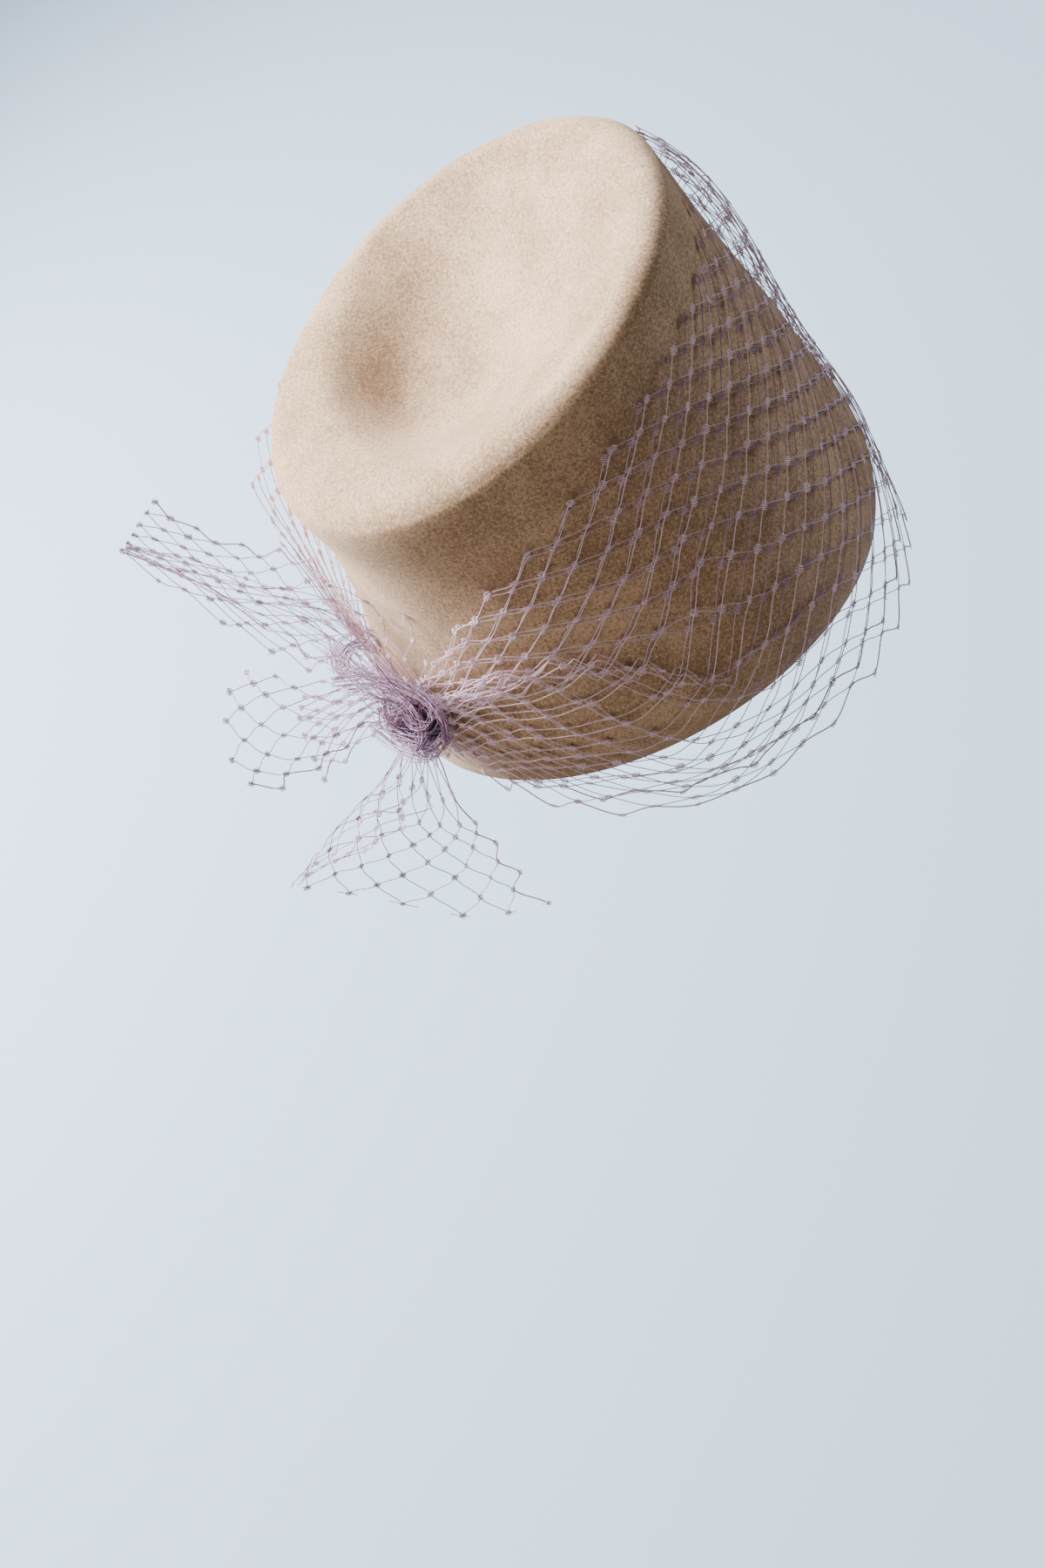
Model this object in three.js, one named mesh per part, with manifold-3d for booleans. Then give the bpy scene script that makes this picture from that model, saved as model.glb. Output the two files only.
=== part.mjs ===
// A sculptural felt toque with a French net veil gathered into a knot at the back.
// Millimetres, +Z up. The origin is the middle of the head opening, on the plane of the rim.
// The wearer faces -Y, so the tall end of the crown is at -Y and the wearer's right is -X.
// Places round the hat are given by their turn in degrees: 0 at the front, 90 on the wearer's right,
// 180 at the back, and negative turns on the wearer's left.
import * as THREE from 'three';
import Module from 'manifold-3d';

const FELT_THICKNESS = 2.4;
const NET_THICKNESS = 1.2;
const STRAND_WIDTH = 2.8; // a bundle of threads of the net
const SMALLEST_GAP = 4; // a smaller opening of the net is closed
const CLEARANCE = 0.3; // left between two pieces that touch
const KNOT_CLEARANCE = 1.2; // left between the knot and the lattices, whose threads lead into it

const CROWN_SEGMENTS = 60;
const OUTER_RINGS = 24;
const INNER_RINGS = 16;
const KNOT_SEGMENTS = 36;
const KNOT_ROOM_SEGMENTS = 24;
const KNOT_RINGS = 11;

const FELT_COLOR = 0xc9ac8a;
const VEIL_COLOR = 0xa68ea2;
const KNOT_COLOR = 0x927a8e;
const FELT_ROUGHNESS = 0.95;
const NET_ROUGHNESS = 0.8;

// Small steps along a surface, for finding the direction square to it, and halvings of a search.
const SECTION_STEP = 0.01;
const TURN_STEP = 0.5;
const MESH_STEP = 0.05;
const HALVINGS = 24;

// The crown's outer face, a row for each oval section: up the wall, over the rolled edge and
// down into the dish of the tip. Each section is tilted by its slope, which raises the front.
const CROWN_SECTIONS = [
  { name: 'rim', height: 0, slope: 0, halfLength: 92, halfWidth: 79, forward: 0 },
  { name: 'tuck', height: 10, slope: 0, halfLength: 93.2, halfWidth: 83.6, forward: 1.3 },
  { name: 'bulge', height: 27, slope: 0.02, halfLength: 93.5, halfWidth: 86, forward: 2.5 },
  { name: 'waist', height: 63, slope: 0.07, halfLength: 86, halfWidth: 82.5, forward: 3 },
  { name: 'neck', height: 103, slope: 0.18, halfLength: 79.5, halfWidth: 80, forward: -0.5 },
  { name: 'under edge', height: 130, slope: 0.235, halfLength: 78.4, halfWidth: 80.6, forward: -4.7 },
  { name: 'edge', height: 137, slope: 0.235, halfLength: 76.4, halfWidth: 78.6, forward: -4.7 },
  { name: 'edge top', height: 140, slope: 0.235, halfLength: 70, halfWidth: 72, forward: -4.7 },
  { name: 'lip', height: 138.4, slope: 0.23, halfLength: 55.6, halfWidth: 65.6, forward: -2 },
  { name: 'dish side', height: 132.4, slope: 0.23, halfLength: 40, halfWidth: 50.7, forward: -7 },
  { name: 'dish', height: 123, slope: 0.245, halfLength: 24, halfWidth: 30.4, forward: -12 },
  { name: 'dish floor', height: 115, slope: 0.07, halfLength: 10.6, halfWidth: 11.7, forward: -21.5 },
  { name: 'dish middle', height: 113, slope: 0.05, halfLength: 0, halfWidth: 0, forward: -27 },
];
const LAST_SECTION = CROWN_SECTIONS.length - 1;
const BULGE_SECTION = 2;
const EDGE_SECTION = 5.5;

// The knot is a pressed ball of gathered net that sits on the bulge.
const KNOT = { turn: 152, height: 37, halfDepth: 10, halfWidth: 15, halfHeight: 14, sunk: 2 };
const KNOT_FOLDS = 9;
const KNOT_FOLD_TWIST = 4;
const KNOT_FOLD_DEPTH = 0.07; // as a part of the knot's radius

// The veil goes once round the crown from the knot, over the front and back to the knot.
// Its lower edge hangs below the rim. Its flare is how far the upper edge stands off the felt,
// and its belly is how far the net stands off below an upper edge that lies on the felt.
const VEIL_LIFT = 2.4;
const VEIL_FLARE_START = 0.45;
const VEIL_BELLY_START = 0.35;
const VEIL_BELLY_RISE = 2.4;
const VEIL_EDGES = [
  { turn: -206, upper: 42, lower: 32, flare: 0, belly: 0 },
  { turn: -197, upper: 62, lower: 18, flare: 0, belly: 0 },
  { turn: -186, upper: 88, lower: 3, flare: 1, belly: 0 },
  { turn: -172, upper: 106, lower: -7, flare: 5, belly: 0 },
  { turn: -152, upper: 110, lower: -10, flare: 7, belly: 0 },
  { turn: -130, upper: 114, lower: -12, flare: 5, belly: 0 },
  { turn: -60, upper: 130, lower: -12, flare: 0, belly: 1 },
  { turn: -20, upper: 147, lower: -12, flare: 0, belly: 5 },
  { turn: 3, upper: 150, lower: -13, flare: 0, belly: 6.5 },
  { turn: 13, upper: 142, lower: -15, flare: 0, belly: 5 },
  { turn: 25, upper: 135, lower: -17, flare: 0, belly: 2.5 },
  { turn: 50, upper: 130.5, lower: -22, flare: 0, belly: 0 },
  { turn: 70, upper: 124, lower: -24, flare: 0, belly: 0 },
  { turn: 92, upper: 112, lower: -24, flare: 0, belly: 0 },
  { turn: 121, upper: 89, lower: -14, flare: 0, belly: 0 },
  { turn: 134, upper: 75, lower: -4, flare: 0, belly: 0 },
  { turn: 145, upper: 56, lower: 14, flare: 0, belly: 0 },
  { turn: 154, upper: 42, lower: 32, flare: 0, belly: 0 },
];
const VEIL_COLUMNS = 28;
const VEIL_ROWS = 8;

// The cut ends of the net, each a fan over a few ribs that run out from the knot.
const UPPER_TAIL_RIBS = [
  { name: 'front', near: [-50, 71, 79], middle: [-15, 92, 84], far: [12, 117, 94], tip: [33, 140, 106] },
  { name: 'fore', near: [-30, 92, 68], middle: [-8, 106, 74], far: [15, 126, 87], tip: [36, 143, 104] },
  { name: 'fold', near: [-5, 109, 48], middle: [11, 121, 64], far: [22, 131, 79], tip: [40, 145, 101] },
  { name: 'back', near: [6, 101, 52], middle: [26, 108, 64], far: [36, 122, 78], tip: [48, 138, 100] },
  { name: 'rear', near: [16, 93, 60], middle: [33, 96, 67], far: [45, 112, 80], tip: [56, 129, 101] },
];
const MIDDLE_TAIL_RIBS = [
  { name: 'upper', near: [-24, 100, 46], middle: [-18, 110, 51], far: [-10, 119, 56], tip: [-2, 128, 60] },
  { name: 'belly', near: [-35, 110, 45], middle: [-32, 119, 51], far: [-27, 131, 55], tip: [-21, 145, 57] },
  { name: 'lower', near: [-40, 109, 34], middle: [-40, 120, 35], far: [-37, 132, 35], tip: [-33, 145, 34] },
];
const LOWER_TAIL_RIBS = [
  { name: 'front', near: [-66, 93, 23], middle: [-71, 104, 24], far: [-70, 118, 22], tip: [-59, 139, 19] },
  { name: 'fore', near: [-55, 105, 27], middle: [-60, 115, 26], far: [-62, 129, 21], tip: [-58, 148, 14] },
  { name: 'fold', near: [-44, 107, 22], middle: [-46, 118, 20], far: [-48, 134, 15], tip: [-52, 151, 8] },
  { name: 'back', near: [-46, 105, 8], middle: [-48, 113, 2], far: [-51, 124, -4], tip: [-55, 133, -11] },
  { name: 'hanging', near: [-51, 96, 1], middle: [-54, 99, -9], far: [-59, 102, -20], tip: [-67, 106, -33] },
  { name: 'selvage', near: [-58, 87, 2], middle: [-63, 85, -9], far: [-70, 83, -20], tip: [-79, 80, -34] },
];
const TAILS = [
  { name: 'tail_upper', columns: 7, rows: 6, color: 0x9a8296, ribs: UPPER_TAIL_RIBS },
  { name: 'tail_middle', columns: 7, rows: 5, color: 0xa28a9e, ribs: MIDDLE_TAIL_RIBS },
  { name: 'tail_lower', columns: 7, rows: 7, color: 0xa28a9e, ribs: LOWER_TAIL_RIBS },
];
const RIB_STATIONS = ['root', 'near', 'middle', 'far', 'tip'];
const RIB_ROOT_DEPTH = 8; // how far from the knot's middle the ribs start

const wasm = await Module();
wasm.setup();

// A smooth curve through the points (xs, ys), with xs rising.
function smooth(xs, ys) {
  const last = xs.length - 1;
  const slopes = xs.map((_, i) => {
    const before = Math.max(i - 1, 0);
    const after = Math.min(i + 1, last);
    return (ys[after] - ys[before]) / (xs[after] - xs[before]);
  });
  return (x) => {
    let i = 0;
    while (i < last - 1 && x > xs[i + 1]) i += 1;
    const span = xs[i + 1] - xs[i];
    const t = Math.min(Math.max((x - xs[i]) / span, 0), 1);
    const rise = t * t * (3 - 2 * t);
    const leave = t * (1 - t) * (1 - t);
    const arrive = t * t * (t - 1);
    return ys[i] + (ys[i + 1] - ys[i]) * rise + (slopes[i] * leave + slopes[i + 1] * arrive) * span;
  };
}

// One smooth curve for each numeric column of a table, against the row number or a named column.
function columnsOf(rows, against) {
  const xs = rows.map((row, i) => (against ? row[against] : i));
  const names = Object.keys(rows[0]).filter((key) => typeof rows[0][key] === 'number');
  return Object.fromEntries(names.map((key) => [key, smooth(xs, rows.map((row) => row[key]))]));
}

const crown = columnsOf(CROWN_SECTIONS);
const veilEdge = columnsOf(VEIL_EDGES, 'turn');

function radians(degrees) {
  return THREE.MathUtils.degToRad(degrees);
}

// A point of the crown's outer face, by its place along the table of sections and its turn.
function crownPoint(section, turn) {
  const ahead = crown.forward(section) + crown.halfLength(section) * Math.cos(radians(turn));
  const right = crown.halfWidth(section) * Math.sin(radians(turn));
  const height = crown.height(section) + crown.slope(section) * ahead;
  return new THREE.Vector3(-right, -ahead, height);
}

// The direction square to a surface given by a function of two numbers, by small steps.
function normalOf(surface, a, b, stepA, stepB) {
  const alongA = surface(a + stepA, b).sub(surface(a - stepA, b));
  const alongB = surface(a, b + stepB).sub(surface(a, b - stepB));
  return alongA.cross(alongB).normalize();
}

function crownNormal(section, turn) {
  if (section > LAST_SECTION - SECTION_STEP) {
    return new THREE.Vector3(0, crown.slope(section), 1).normalize();
  }
  const inside = Math.min(Math.max(section, SECTION_STEP), LAST_SECTION - 2 * SECTION_STEP);
  return normalOf((t, s) => crownPoint(s, t), turn, inside, TURN_STEP, SECTION_STEP).negate();
}

// The crown's outer face moved out, or in where the distance is negative. The rim stays level.
function offsetCrownPoint(section, turn, distance) {
  const point = crownPoint(section, turn);
  const out = crownNormal(section, turn);
  if (section === 0) {
    out.setZ(0).normalize();
  }
  return point.addScaledVector(out, distance);
}

// The triangles of a cap that closes rings of points to a pole: rings from the rim to the pole.
function shellTriangles(rings, count, start, inward) {
  const triangles = [];
  const add = (a, b, c) => triangles.push(...(inward ? [a, c, b] : [a, b, c]));
  for (let ring = 0; ring < rings - 1; ring += 1) {
    for (let k = 0; k < count; k += 1) {
      const next = (k + 1) % count;
      const low = start + ring * count;
      const high = low + count;
      add(low + k, high + k, high + next);
      add(low + k, high + next, low + next);
    }
  }
  const lastRing = start + (rings - 1) * count;
  const pole = start + rings * count;
  for (let k = 0; k < count; k += 1) {
    add(lastRing + k, pole, lastRing + ((k + 1) % count));
  }
  return triangles;
}

// The points of one face of the crown, ring by ring, with its pole last.
function crownFace(rings, distance) {
  const points = [];
  for (let ring = 0; ring < rings; ring += 1) {
    const section = (ring / rings) * LAST_SECTION;
    for (let k = 0; k < CROWN_SEGMENTS; k += 1) {
      points.push(offsetCrownPoint(section, (360 * k) / CROWN_SEGMENTS, distance));
    }
  }
  points.push(offsetCrownPoint(LAST_SECTION, 0, distance));
  return points;
}

function geometryOf(points, triangles) {
  const geometry = new THREE.BufferGeometry();
  geometry.setAttribute('position', new THREE.Float32BufferAttribute(points.flatMap((p) => p.toArray()), 3));
  geometry.setIndex(triangles);
  return geometry;
}

// The blocked felt: an outer face, an inner face and the level cut edge between them.
function crownGeometry() {
  const outer = crownFace(OUTER_RINGS, 0);
  const inner = crownFace(INNER_RINGS, -FELT_THICKNESS);
  const triangles = [
    ...shellTriangles(OUTER_RINGS, CROWN_SEGMENTS, 0, false),
    ...shellTriangles(INNER_RINGS, CROWN_SEGMENTS, outer.length, true),
  ];
  for (let k = 0; k < CROWN_SEGMENTS; k += 1) {
    const next = (k + 1) % CROWN_SEGMENTS;
    triangles.push(k, next, outer.length + next, k, outer.length + next, outer.length + k);
  }
  return geometryOf([...outer, ...inner], triangles);
}

// The room that the crown takes, for cutting what sits on it.
function crownRoomGeometry() {
  const points = crownFace(OUTER_RINGS, CLEARANCE);
  const triangles = shellTriangles(OUTER_RINGS, CROWN_SEGMENTS, 0, false);
  const middle = points.length;
  points.push(new THREE.Vector3(0, 0, 0));
  for (let k = 0; k < CROWN_SEGMENTS; k += 1) {
    triangles.push(middle, k, (k + 1) % CROWN_SEGMENTS);
  }
  return geometryOf(points, triangles);
}

function solidOf(geometry) {
  const vertProperties = new Float32Array(geometry.attributes.position.array);
  const triVerts = new Uint32Array(geometry.index.array);
  return new wasm.Manifold(new wasm.Mesh({ numProp: 3, vertProperties, triVerts }));
}

function geometryOfSolid(solid) {
  const mesh = solid.getMesh();
  const geometry = new THREE.BufferGeometry();
  geometry.setAttribute('position', new THREE.Float32BufferAttribute(mesh.vertProperties, 3));
  geometry.setIndex([...mesh.triVerts]);
  return geometry;
}

// Where a height on the crown's wall lies in the table of sections, for one turn.
function sectionAtHeight(turn, height) {
  let low = BULGE_SECTION;
  let high = EDGE_SECTION;
  for (let step = 0; step < HALVINGS; step += 1) {
    const middle = (low + high) / 2;
    if (crownPoint(middle, turn).z < height) low = middle;
    else high = middle;
  }
  return (low + high) / 2;
}

// The level direction away from the crown at one turn.
function outwardAt(section, turn) {
  const along = crownPoint(section, turn + TURN_STEP).sub(crownPoint(section, turn - TURN_STEP));
  return new THREE.Vector3(-along.y, along.x, 0).normalize();
}

// A point over the crown's wall. Below the bulge it hangs straight down, clear of the rim.
function wallPoint(turn, height, lift) {
  const section = sectionAtHeight(turn, height);
  const point = crownPoint(section, turn).addScaledVector(outwardAt(section, turn), lift);
  return point.setZ(height);
}

const knotAxis = outwardAt(BULGE_SECTION, KNOT.turn);
const knotMiddle = wallPoint(KNOT.turn, KNOT.height, KNOT.halfDepth - KNOT.sunk);
const knotAcross = new THREE.Vector3(0, 0, 1).cross(knotAxis).normalize();

// A point on the knot's outer form, grown by a distance, in a direction given by two angles.
function knotPoint(round, down, grow, foldDepth) {
  const wave = Math.cos(KNOT_FOLDS * round + KNOT_FOLD_TWIST * down);
  const fold = 1 + foldDepth * wave * Math.sin(down);
  const out = (KNOT.halfDepth + grow) * Math.cos(down) * fold;
  const reach = Math.sin(down) * fold;
  return knotMiddle
    .clone()
    .addScaledVector(knotAxis, out)
    .addScaledVector(knotAcross, (KNOT.halfWidth + grow) * reach * Math.cos(round))
    .setZ(knotMiddle.z + (KNOT.halfHeight + grow) * reach * Math.sin(round));
}

// The knot's form as rings round its axis, from the felt side to the outer pole.
function knotFormGeometry(grow, foldDepth, count) {
  const points = [];
  for (let ring = 1; ring <= KNOT_RINGS; ring += 1) {
    const down = Math.PI * (1 - ring / (KNOT_RINGS + 1));
    for (let k = 0; k < count; k += 1) {
      points.push(knotPoint((2 * Math.PI * k) / count, down, grow, foldDepth));
    }
  }
  points.push(knotPoint(0, 0, grow, 0));
  points.push(knotPoint(0, Math.PI, grow, 0));
  const triangles = shellTriangles(KNOT_RINGS, count, 0, true);
  for (let k = 0; k < count; k += 1) {
    triangles.push(points.length - 1, (k + 1) % count, k);
  }
  return geometryOf(points, triangles);
}

// The outline of one diamond mesh of the net, with straight strands or with strands that bend.
const TAUT_MESH = [[1, 0], [0, 1], [-1, 0], [0, -1]];
const BENT_MESH = [[1, 0], [0.5, 0.5], [0, 1], [-0.5, 0.5], [-1, 0], [-0.5, -0.5], [0, -1], [0.5, -0.5]];

// A sheet of netting: a lattice of diamond meshes over a surface of two numbers from 0 to 1,
// with an opening through every mesh that is large enough, and a zigzag edge all round.
function netGeometry(surface, columns, rows, corners) {
  const points = [];
  const triangles = [];
  const known = new Map();
  const borders = new Map();
  const at = (i, j) => surface(i / columns, j / rows);

  function vertex(i, j, face) {
    const key = `${i.toFixed(5)},${j.toFixed(5)},${face}`;
    if (!known.has(key)) {
      const normal = normalOf(at, i, j, MESH_STEP, MESH_STEP);
      known.set(key, points.length);
      points.push(at(i, j).addScaledVector(normal, (face * NET_THICKNESS) / 2));
    }
    return known.get(key);
  }

  function openingScale(i, j) {
    const halfLength = at(i - 1, j).distanceTo(at(i + 1, j)) / 2;
    const halfHeight = at(i, j - 1).distanceTo(at(i, j + 1)) / 2;
    const inner = (halfLength * halfHeight) / Math.hypot(halfLength, halfHeight);
    return 2 * inner - STRAND_WIDTH > SMALLEST_GAP ? 1 - STRAND_WIDTH / 2 / inner : 0;
  }

  function addMesh(i, j) {
    const scale = openingScale(i, j);
    for (let k = 0; k < corners.length; k += 1) {
      const [a, b] = corners[k];
      const [c, d] = corners[(k + 1) % corners.length];
      const [p, q] = [1, -1].map((face) => vertex(i + a, j + b, face));
      const [r, s] = [1, -1].map((face) => vertex(i + c, j + d, face));
      const border = p < r ? `${p},${r}` : `${r},${p}`;
      if (borders.has(border)) borders.delete(border);
      else borders.set(border, [p, q, r, s]);
      if (scale === 0) {
        triangles.push(p, r, vertex(i, j, 1), s, q, vertex(i, j, -1));
      } else {
        const [t, u] = [1, -1].map((face) => vertex(i + a * scale, j + b * scale, face));
        const [v, w] = [1, -1].map((face) => vertex(i + c * scale, j + d * scale, face));
        triangles.push(p, r, v, p, v, t, s, q, w, q, u, w);
        triangles.push(t, v, w, t, w, u);
      }
    }
  }

  for (let i = 1; i < columns; i += 1) {
    for (let j = 1; j < rows; j += 1) {
      if ((i + j) % 2 === 1) addMesh(i, j);
    }
  }
  for (const [p, q, r, s] of borders.values()) {
    triangles.push(r, p, q, r, q, s);
  }
  return geometryOf(points, triangles);
}

// The veil's surface: once round the hat, and from its lower edge to its upper edge.
function veilPoint(round, up) {
  const first = VEIL_EDGES[0].turn;
  const last = VEIL_EDGES[VEIL_EDGES.length - 1].turn;
  const turn = first + (last - first) * round;
  const lower = veilEdge.lower(turn);
  const height = lower + (veilEdge.upper(turn) - lower) * up;
  const standing = Math.max(up - VEIL_FLARE_START, 0) / (1 - VEIL_FLARE_START);
  const risen = Math.max(up - VEIL_BELLY_START, 0) / (1 - VEIL_BELLY_START);
  const flare = veilEdge.flare(turn) * standing * standing;
  const belly = veilEdge.belly(turn) * Math.max(Math.sin(Math.PI * risen ** VEIL_BELLY_RISE), 0);
  return wallPoint(turn, height, VEIL_LIFT + flare + belly);
}

// The root of a rib lies just under the knot's surface, on the way to the rib's first point.
function ribRoot(near) {
  const reach = new THREE.Vector3(...near).sub(knotMiddle);
  return knotMiddle.clone().addScaledVector(reach.normalize(), RIB_ROOT_DEPTH);
}

// A tail's surface: out along its ribs, and across from its first rib to its last.
function tailSurface(ribs) {
  const stations = RIB_STATIONS.map((_, i) => i);
  const order = ribs.map((_, i) => i);
  const curves = ribs.map((rib) => {
    const path = [ribRoot(rib.near), ...RIB_STATIONS.slice(1).map((key) => new THREE.Vector3(...rib[key]))];
    return ['x', 'y', 'z'].map((axis) => smooth(stations, path.map((point) => point[axis])));
  });
  return (out, across) => {
    const place = [0, 1, 2].map((axis) => {
      const values = curves.map((curve) => curve[axis](out * (RIB_STATIONS.length - 1)));
      return smooth(order, values)(across * (ribs.length - 1));
    });
    return new THREE.Vector3(...place);
  };
}

function piece(name, geometry, color, roughness) {
  const material = new THREE.MeshStandardMaterial({ color, roughness, metalness: 0, side: THREE.DoubleSide });
  const mesh = new THREE.Mesh(geometry, material);
  mesh.name = name;
  return mesh;
}

const hat = new THREE.Group();
hat.add(piece('crown', crownGeometry(), FELT_COLOR, FELT_ROUGHNESS));

const crownRoom = solidOf(crownRoomGeometry());
const knotRoom = solidOf(knotFormGeometry(KNOT_CLEARANCE, 0, KNOT_ROOM_SEGMENTS));
const knotForm = solidOf(knotFormGeometry(0, KNOT_FOLD_DEPTH, KNOT_SEGMENTS));
hat.add(piece('knot', geometryOfSolid(knotForm.subtract(crownRoom)), KNOT_COLOR, NET_ROUGHNESS));

const veilForm = solidOf(netGeometry(veilPoint, VEIL_COLUMNS, VEIL_ROWS, TAUT_MESH));
hat.add(piece('veil', geometryOfSolid(veilForm.subtract(knotRoom)), VEIL_COLOR, NET_ROUGHNESS));

for (const tail of TAILS) {
  const form = solidOf(netGeometry(tailSurface(tail.ribs), tail.columns, tail.rows, BENT_MESH));
  hat.add(piece(tail.name, geometryOfSolid(form.subtract(knotRoom)), tail.color, NET_ROUGHNESS));
}

export default hat;
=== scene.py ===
# %% [markdown]
# A felt toque with a veil of knotted net. The real hat is one piece of wool felt, pulled damp
# over a carved block. A milliner then lays a strip of veiling round it, gathers both ends at
# the back, sews them down as a knot and leaves the cut ends standing out as tails.
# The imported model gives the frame: metres, Z up, the wearer facing -Y. Everything below is made
# in that frame, so nothing has to be moved into place afterwards.

# %% Load the frame
import math

import bpy
import numpy as np
from mathutils import Matrix, Vector, noise


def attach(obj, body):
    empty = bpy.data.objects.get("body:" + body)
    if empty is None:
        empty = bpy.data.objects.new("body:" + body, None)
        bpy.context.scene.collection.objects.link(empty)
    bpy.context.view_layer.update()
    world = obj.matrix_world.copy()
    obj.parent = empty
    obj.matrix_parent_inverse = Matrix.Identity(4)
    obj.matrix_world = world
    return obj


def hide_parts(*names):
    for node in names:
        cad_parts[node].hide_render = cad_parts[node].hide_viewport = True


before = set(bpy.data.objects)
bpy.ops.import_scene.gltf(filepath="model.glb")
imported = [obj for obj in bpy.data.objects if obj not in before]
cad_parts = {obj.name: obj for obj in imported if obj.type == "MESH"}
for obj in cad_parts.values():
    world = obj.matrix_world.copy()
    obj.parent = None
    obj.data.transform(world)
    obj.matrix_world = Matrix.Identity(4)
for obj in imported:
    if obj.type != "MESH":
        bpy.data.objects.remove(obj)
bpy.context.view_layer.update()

# %% [markdown]
# The hat is seen from the wearer's right and from above, with the camera rolled so that the
# tip of the crown leans to one side of the view. A camera needs a place, a point to look at
# and an upward direction. A track quaternion can't carry a roll, so the three axes of the
# camera are built one by one instead.

# %% Camera
CAMERA_PLACE = Vector((-0.600, 0.0105, 0.506))
CAMERA_AIM = Vector((-0.060, 0.066, 0.003))
CAMERA_UP = Vector((0.615, -0.507, 0.604))

camera = bpy.data.objects.new("camera", bpy.data.cameras.new("camera"))
bpy.context.scene.collection.objects.link(camera)
back = (CAMERA_PLACE - CAMERA_AIM).normalized()
right = CAMERA_UP.cross(back).normalized()
upward = back.cross(right)
camera.matrix_world = Matrix([
    [right.x, upward.x, back.x, CAMERA_PLACE.x],
    [right.y, upward.y, back.y, CAMERA_PLACE.y],
    [right.z, upward.z, back.z, CAMERA_PLACE.z],
    [0, 0, 0, 1],
])
camera.data.lens = 50
camera.data.sensor_width = 36
bpy.context.scene.camera = camera
print("camera looks down by", round(math.degrees(math.asin(back.z))), "degrees")

# %% [markdown]
# A pale floor far below keeps the shadow of the hat soft and out of the way, because a hat is
# held up by a head. One large soft light stands high at the back on the left, as a window
# would, and leaves the wearer's right side of the crown in its own shade. Two weak lights, low
# at the back and at the front, let that shade fall off gradually, and a dim sky fills the rest.

# %% Floor, lights and sky
FLOOR_HEIGHT = -0.42
FLOOR_REACH = 6


def fill(node, sockets):
    """Gives each named input of a node its value."""
    for name, value in sockets.items():
        node.inputs[name].default_value = value


floor_mesh = bpy.data.meshes.new("floor")
floor_mesh.from_pydata(
    [(x * FLOOR_REACH, y * FLOOR_REACH, FLOOR_HEIGHT)
     for x, y in ((-1, -1), (1, -1), (1, 1), (-1, 1))],
    [], [(0, 1, 2, 3)],
)
floor = bpy.data.objects.new("floor", floor_mesh)
bpy.context.scene.collection.objects.link(floor)
floor.visible_diffuse = False  # its blue bounce would chill the shade side of the felt

paper = bpy.data.materials.new("backdrop paper")
paper.use_nodes = True
fill(paper.node_tree.nodes["Principled BSDF"],
     {"Base Color": (0.337, 0.477, 0.656, 1), "Roughness": 0.9})
floor_mesh.materials.append(paper)


def soft_light(name, place, aim, size, power, color):
    light = bpy.data.lights.new(name, "AREA")
    light.shape = "DISK"
    light.size = size
    light.energy = power
    light.color = color
    lamp = bpy.data.objects.new(name, light)
    bpy.context.scene.collection.objects.link(lamp)
    lamp.location = place
    lamp.rotation_euler = (Vector(aim) - Vector(place)).to_track_quat("-Z", "Y").to_euler()


soft_light("window", (1.05, 1.00, 1.00), (0, 0, 0.08), 1.5, 238, (1.0, 0.945, 0.895))
soft_light("back fill", (-1.1, 0.9, 0.0), (0, 0, 0.06), 1.8, 12.5, (1.0, 0.87, 0.75))
soft_light("front fill", (0.3, -1.7, 0.2), (0, 0, 0.05), 0.9, 14, (0.97, 0.97, 1.0))

world = bpy.data.worlds.new("pale sky")
bpy.context.scene.world = world
world.use_nodes = True
fill(world.node_tree.nodes["Background"], {"Color": (1.0, 0.86, 0.74, 1), "Strength": 0.05})

# %% [markdown]
# Forms such as a blocked crown are drawn by a milliner as a few ovals, one above the other. The
# same few ovals are kept here in millimetres, and a smooth curve runs through each of their
# numbers. It is the rule that the CAD model follows, so the two agree without any fitting.

# %% Smooth curves through a few named sizes
MM = 0.001


def smooth(xs, ys):
    """A function whose smooth curve passes through the given places."""
    xs, ys = np.array(xs, float), np.array(ys, float)
    after = np.minimum(np.arange(len(xs)) + 1, len(xs) - 1)
    before = np.maximum(np.arange(len(xs)) - 1, 0)
    slopes = (ys[after] - ys[before]) / (xs[after] - xs[before])

    def curve(x):
        x = np.asarray(x, float)
        i = np.clip(np.searchsorted(xs, x, side="right") - 1, 0, len(xs) - 2)
        span = xs[i + 1] - xs[i]
        t = np.clip((x - xs[i]) / span, 0, 1)
        bend = slopes[i] * t * (1 - t) ** 2 + slopes[i + 1] * t * t * (t - 1)
        return ys[i] + (ys[i + 1] - ys[i]) * t * t * (3 - 2 * t) + bend * span

    return curve


def columns_of(names, rows, against=None):
    """A smooth curve for each column of a table, against the row's number or one column."""
    table = np.array(rows, float)
    xs = table[:, names.index(against)] if against else np.arange(len(rows))
    return {name: smooth(xs, table[:, k]) for k, name in enumerate(names)}


def unit(vectors):
    return vectors / np.maximum(np.linalg.norm(vectors, axis=-1, keepdims=True), 1e-12)


print("halfway between 0 and 10 the curve gives", float(smooth([0, 1], [0, 10])(0.5)))

# %% [markdown]
# The crown widens a little above the rim, draws in to a waist and ends in a tilted, rolled edge
# round a dish. Setting its points one by one would mean hundreds of numbers to keep in agreement,
# where thirteen ovals are enough. Each has a height, two half sizes and a shift forward in
# millimetres, and a slope, which is how much it rises for each millimetre towards the front.

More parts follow.
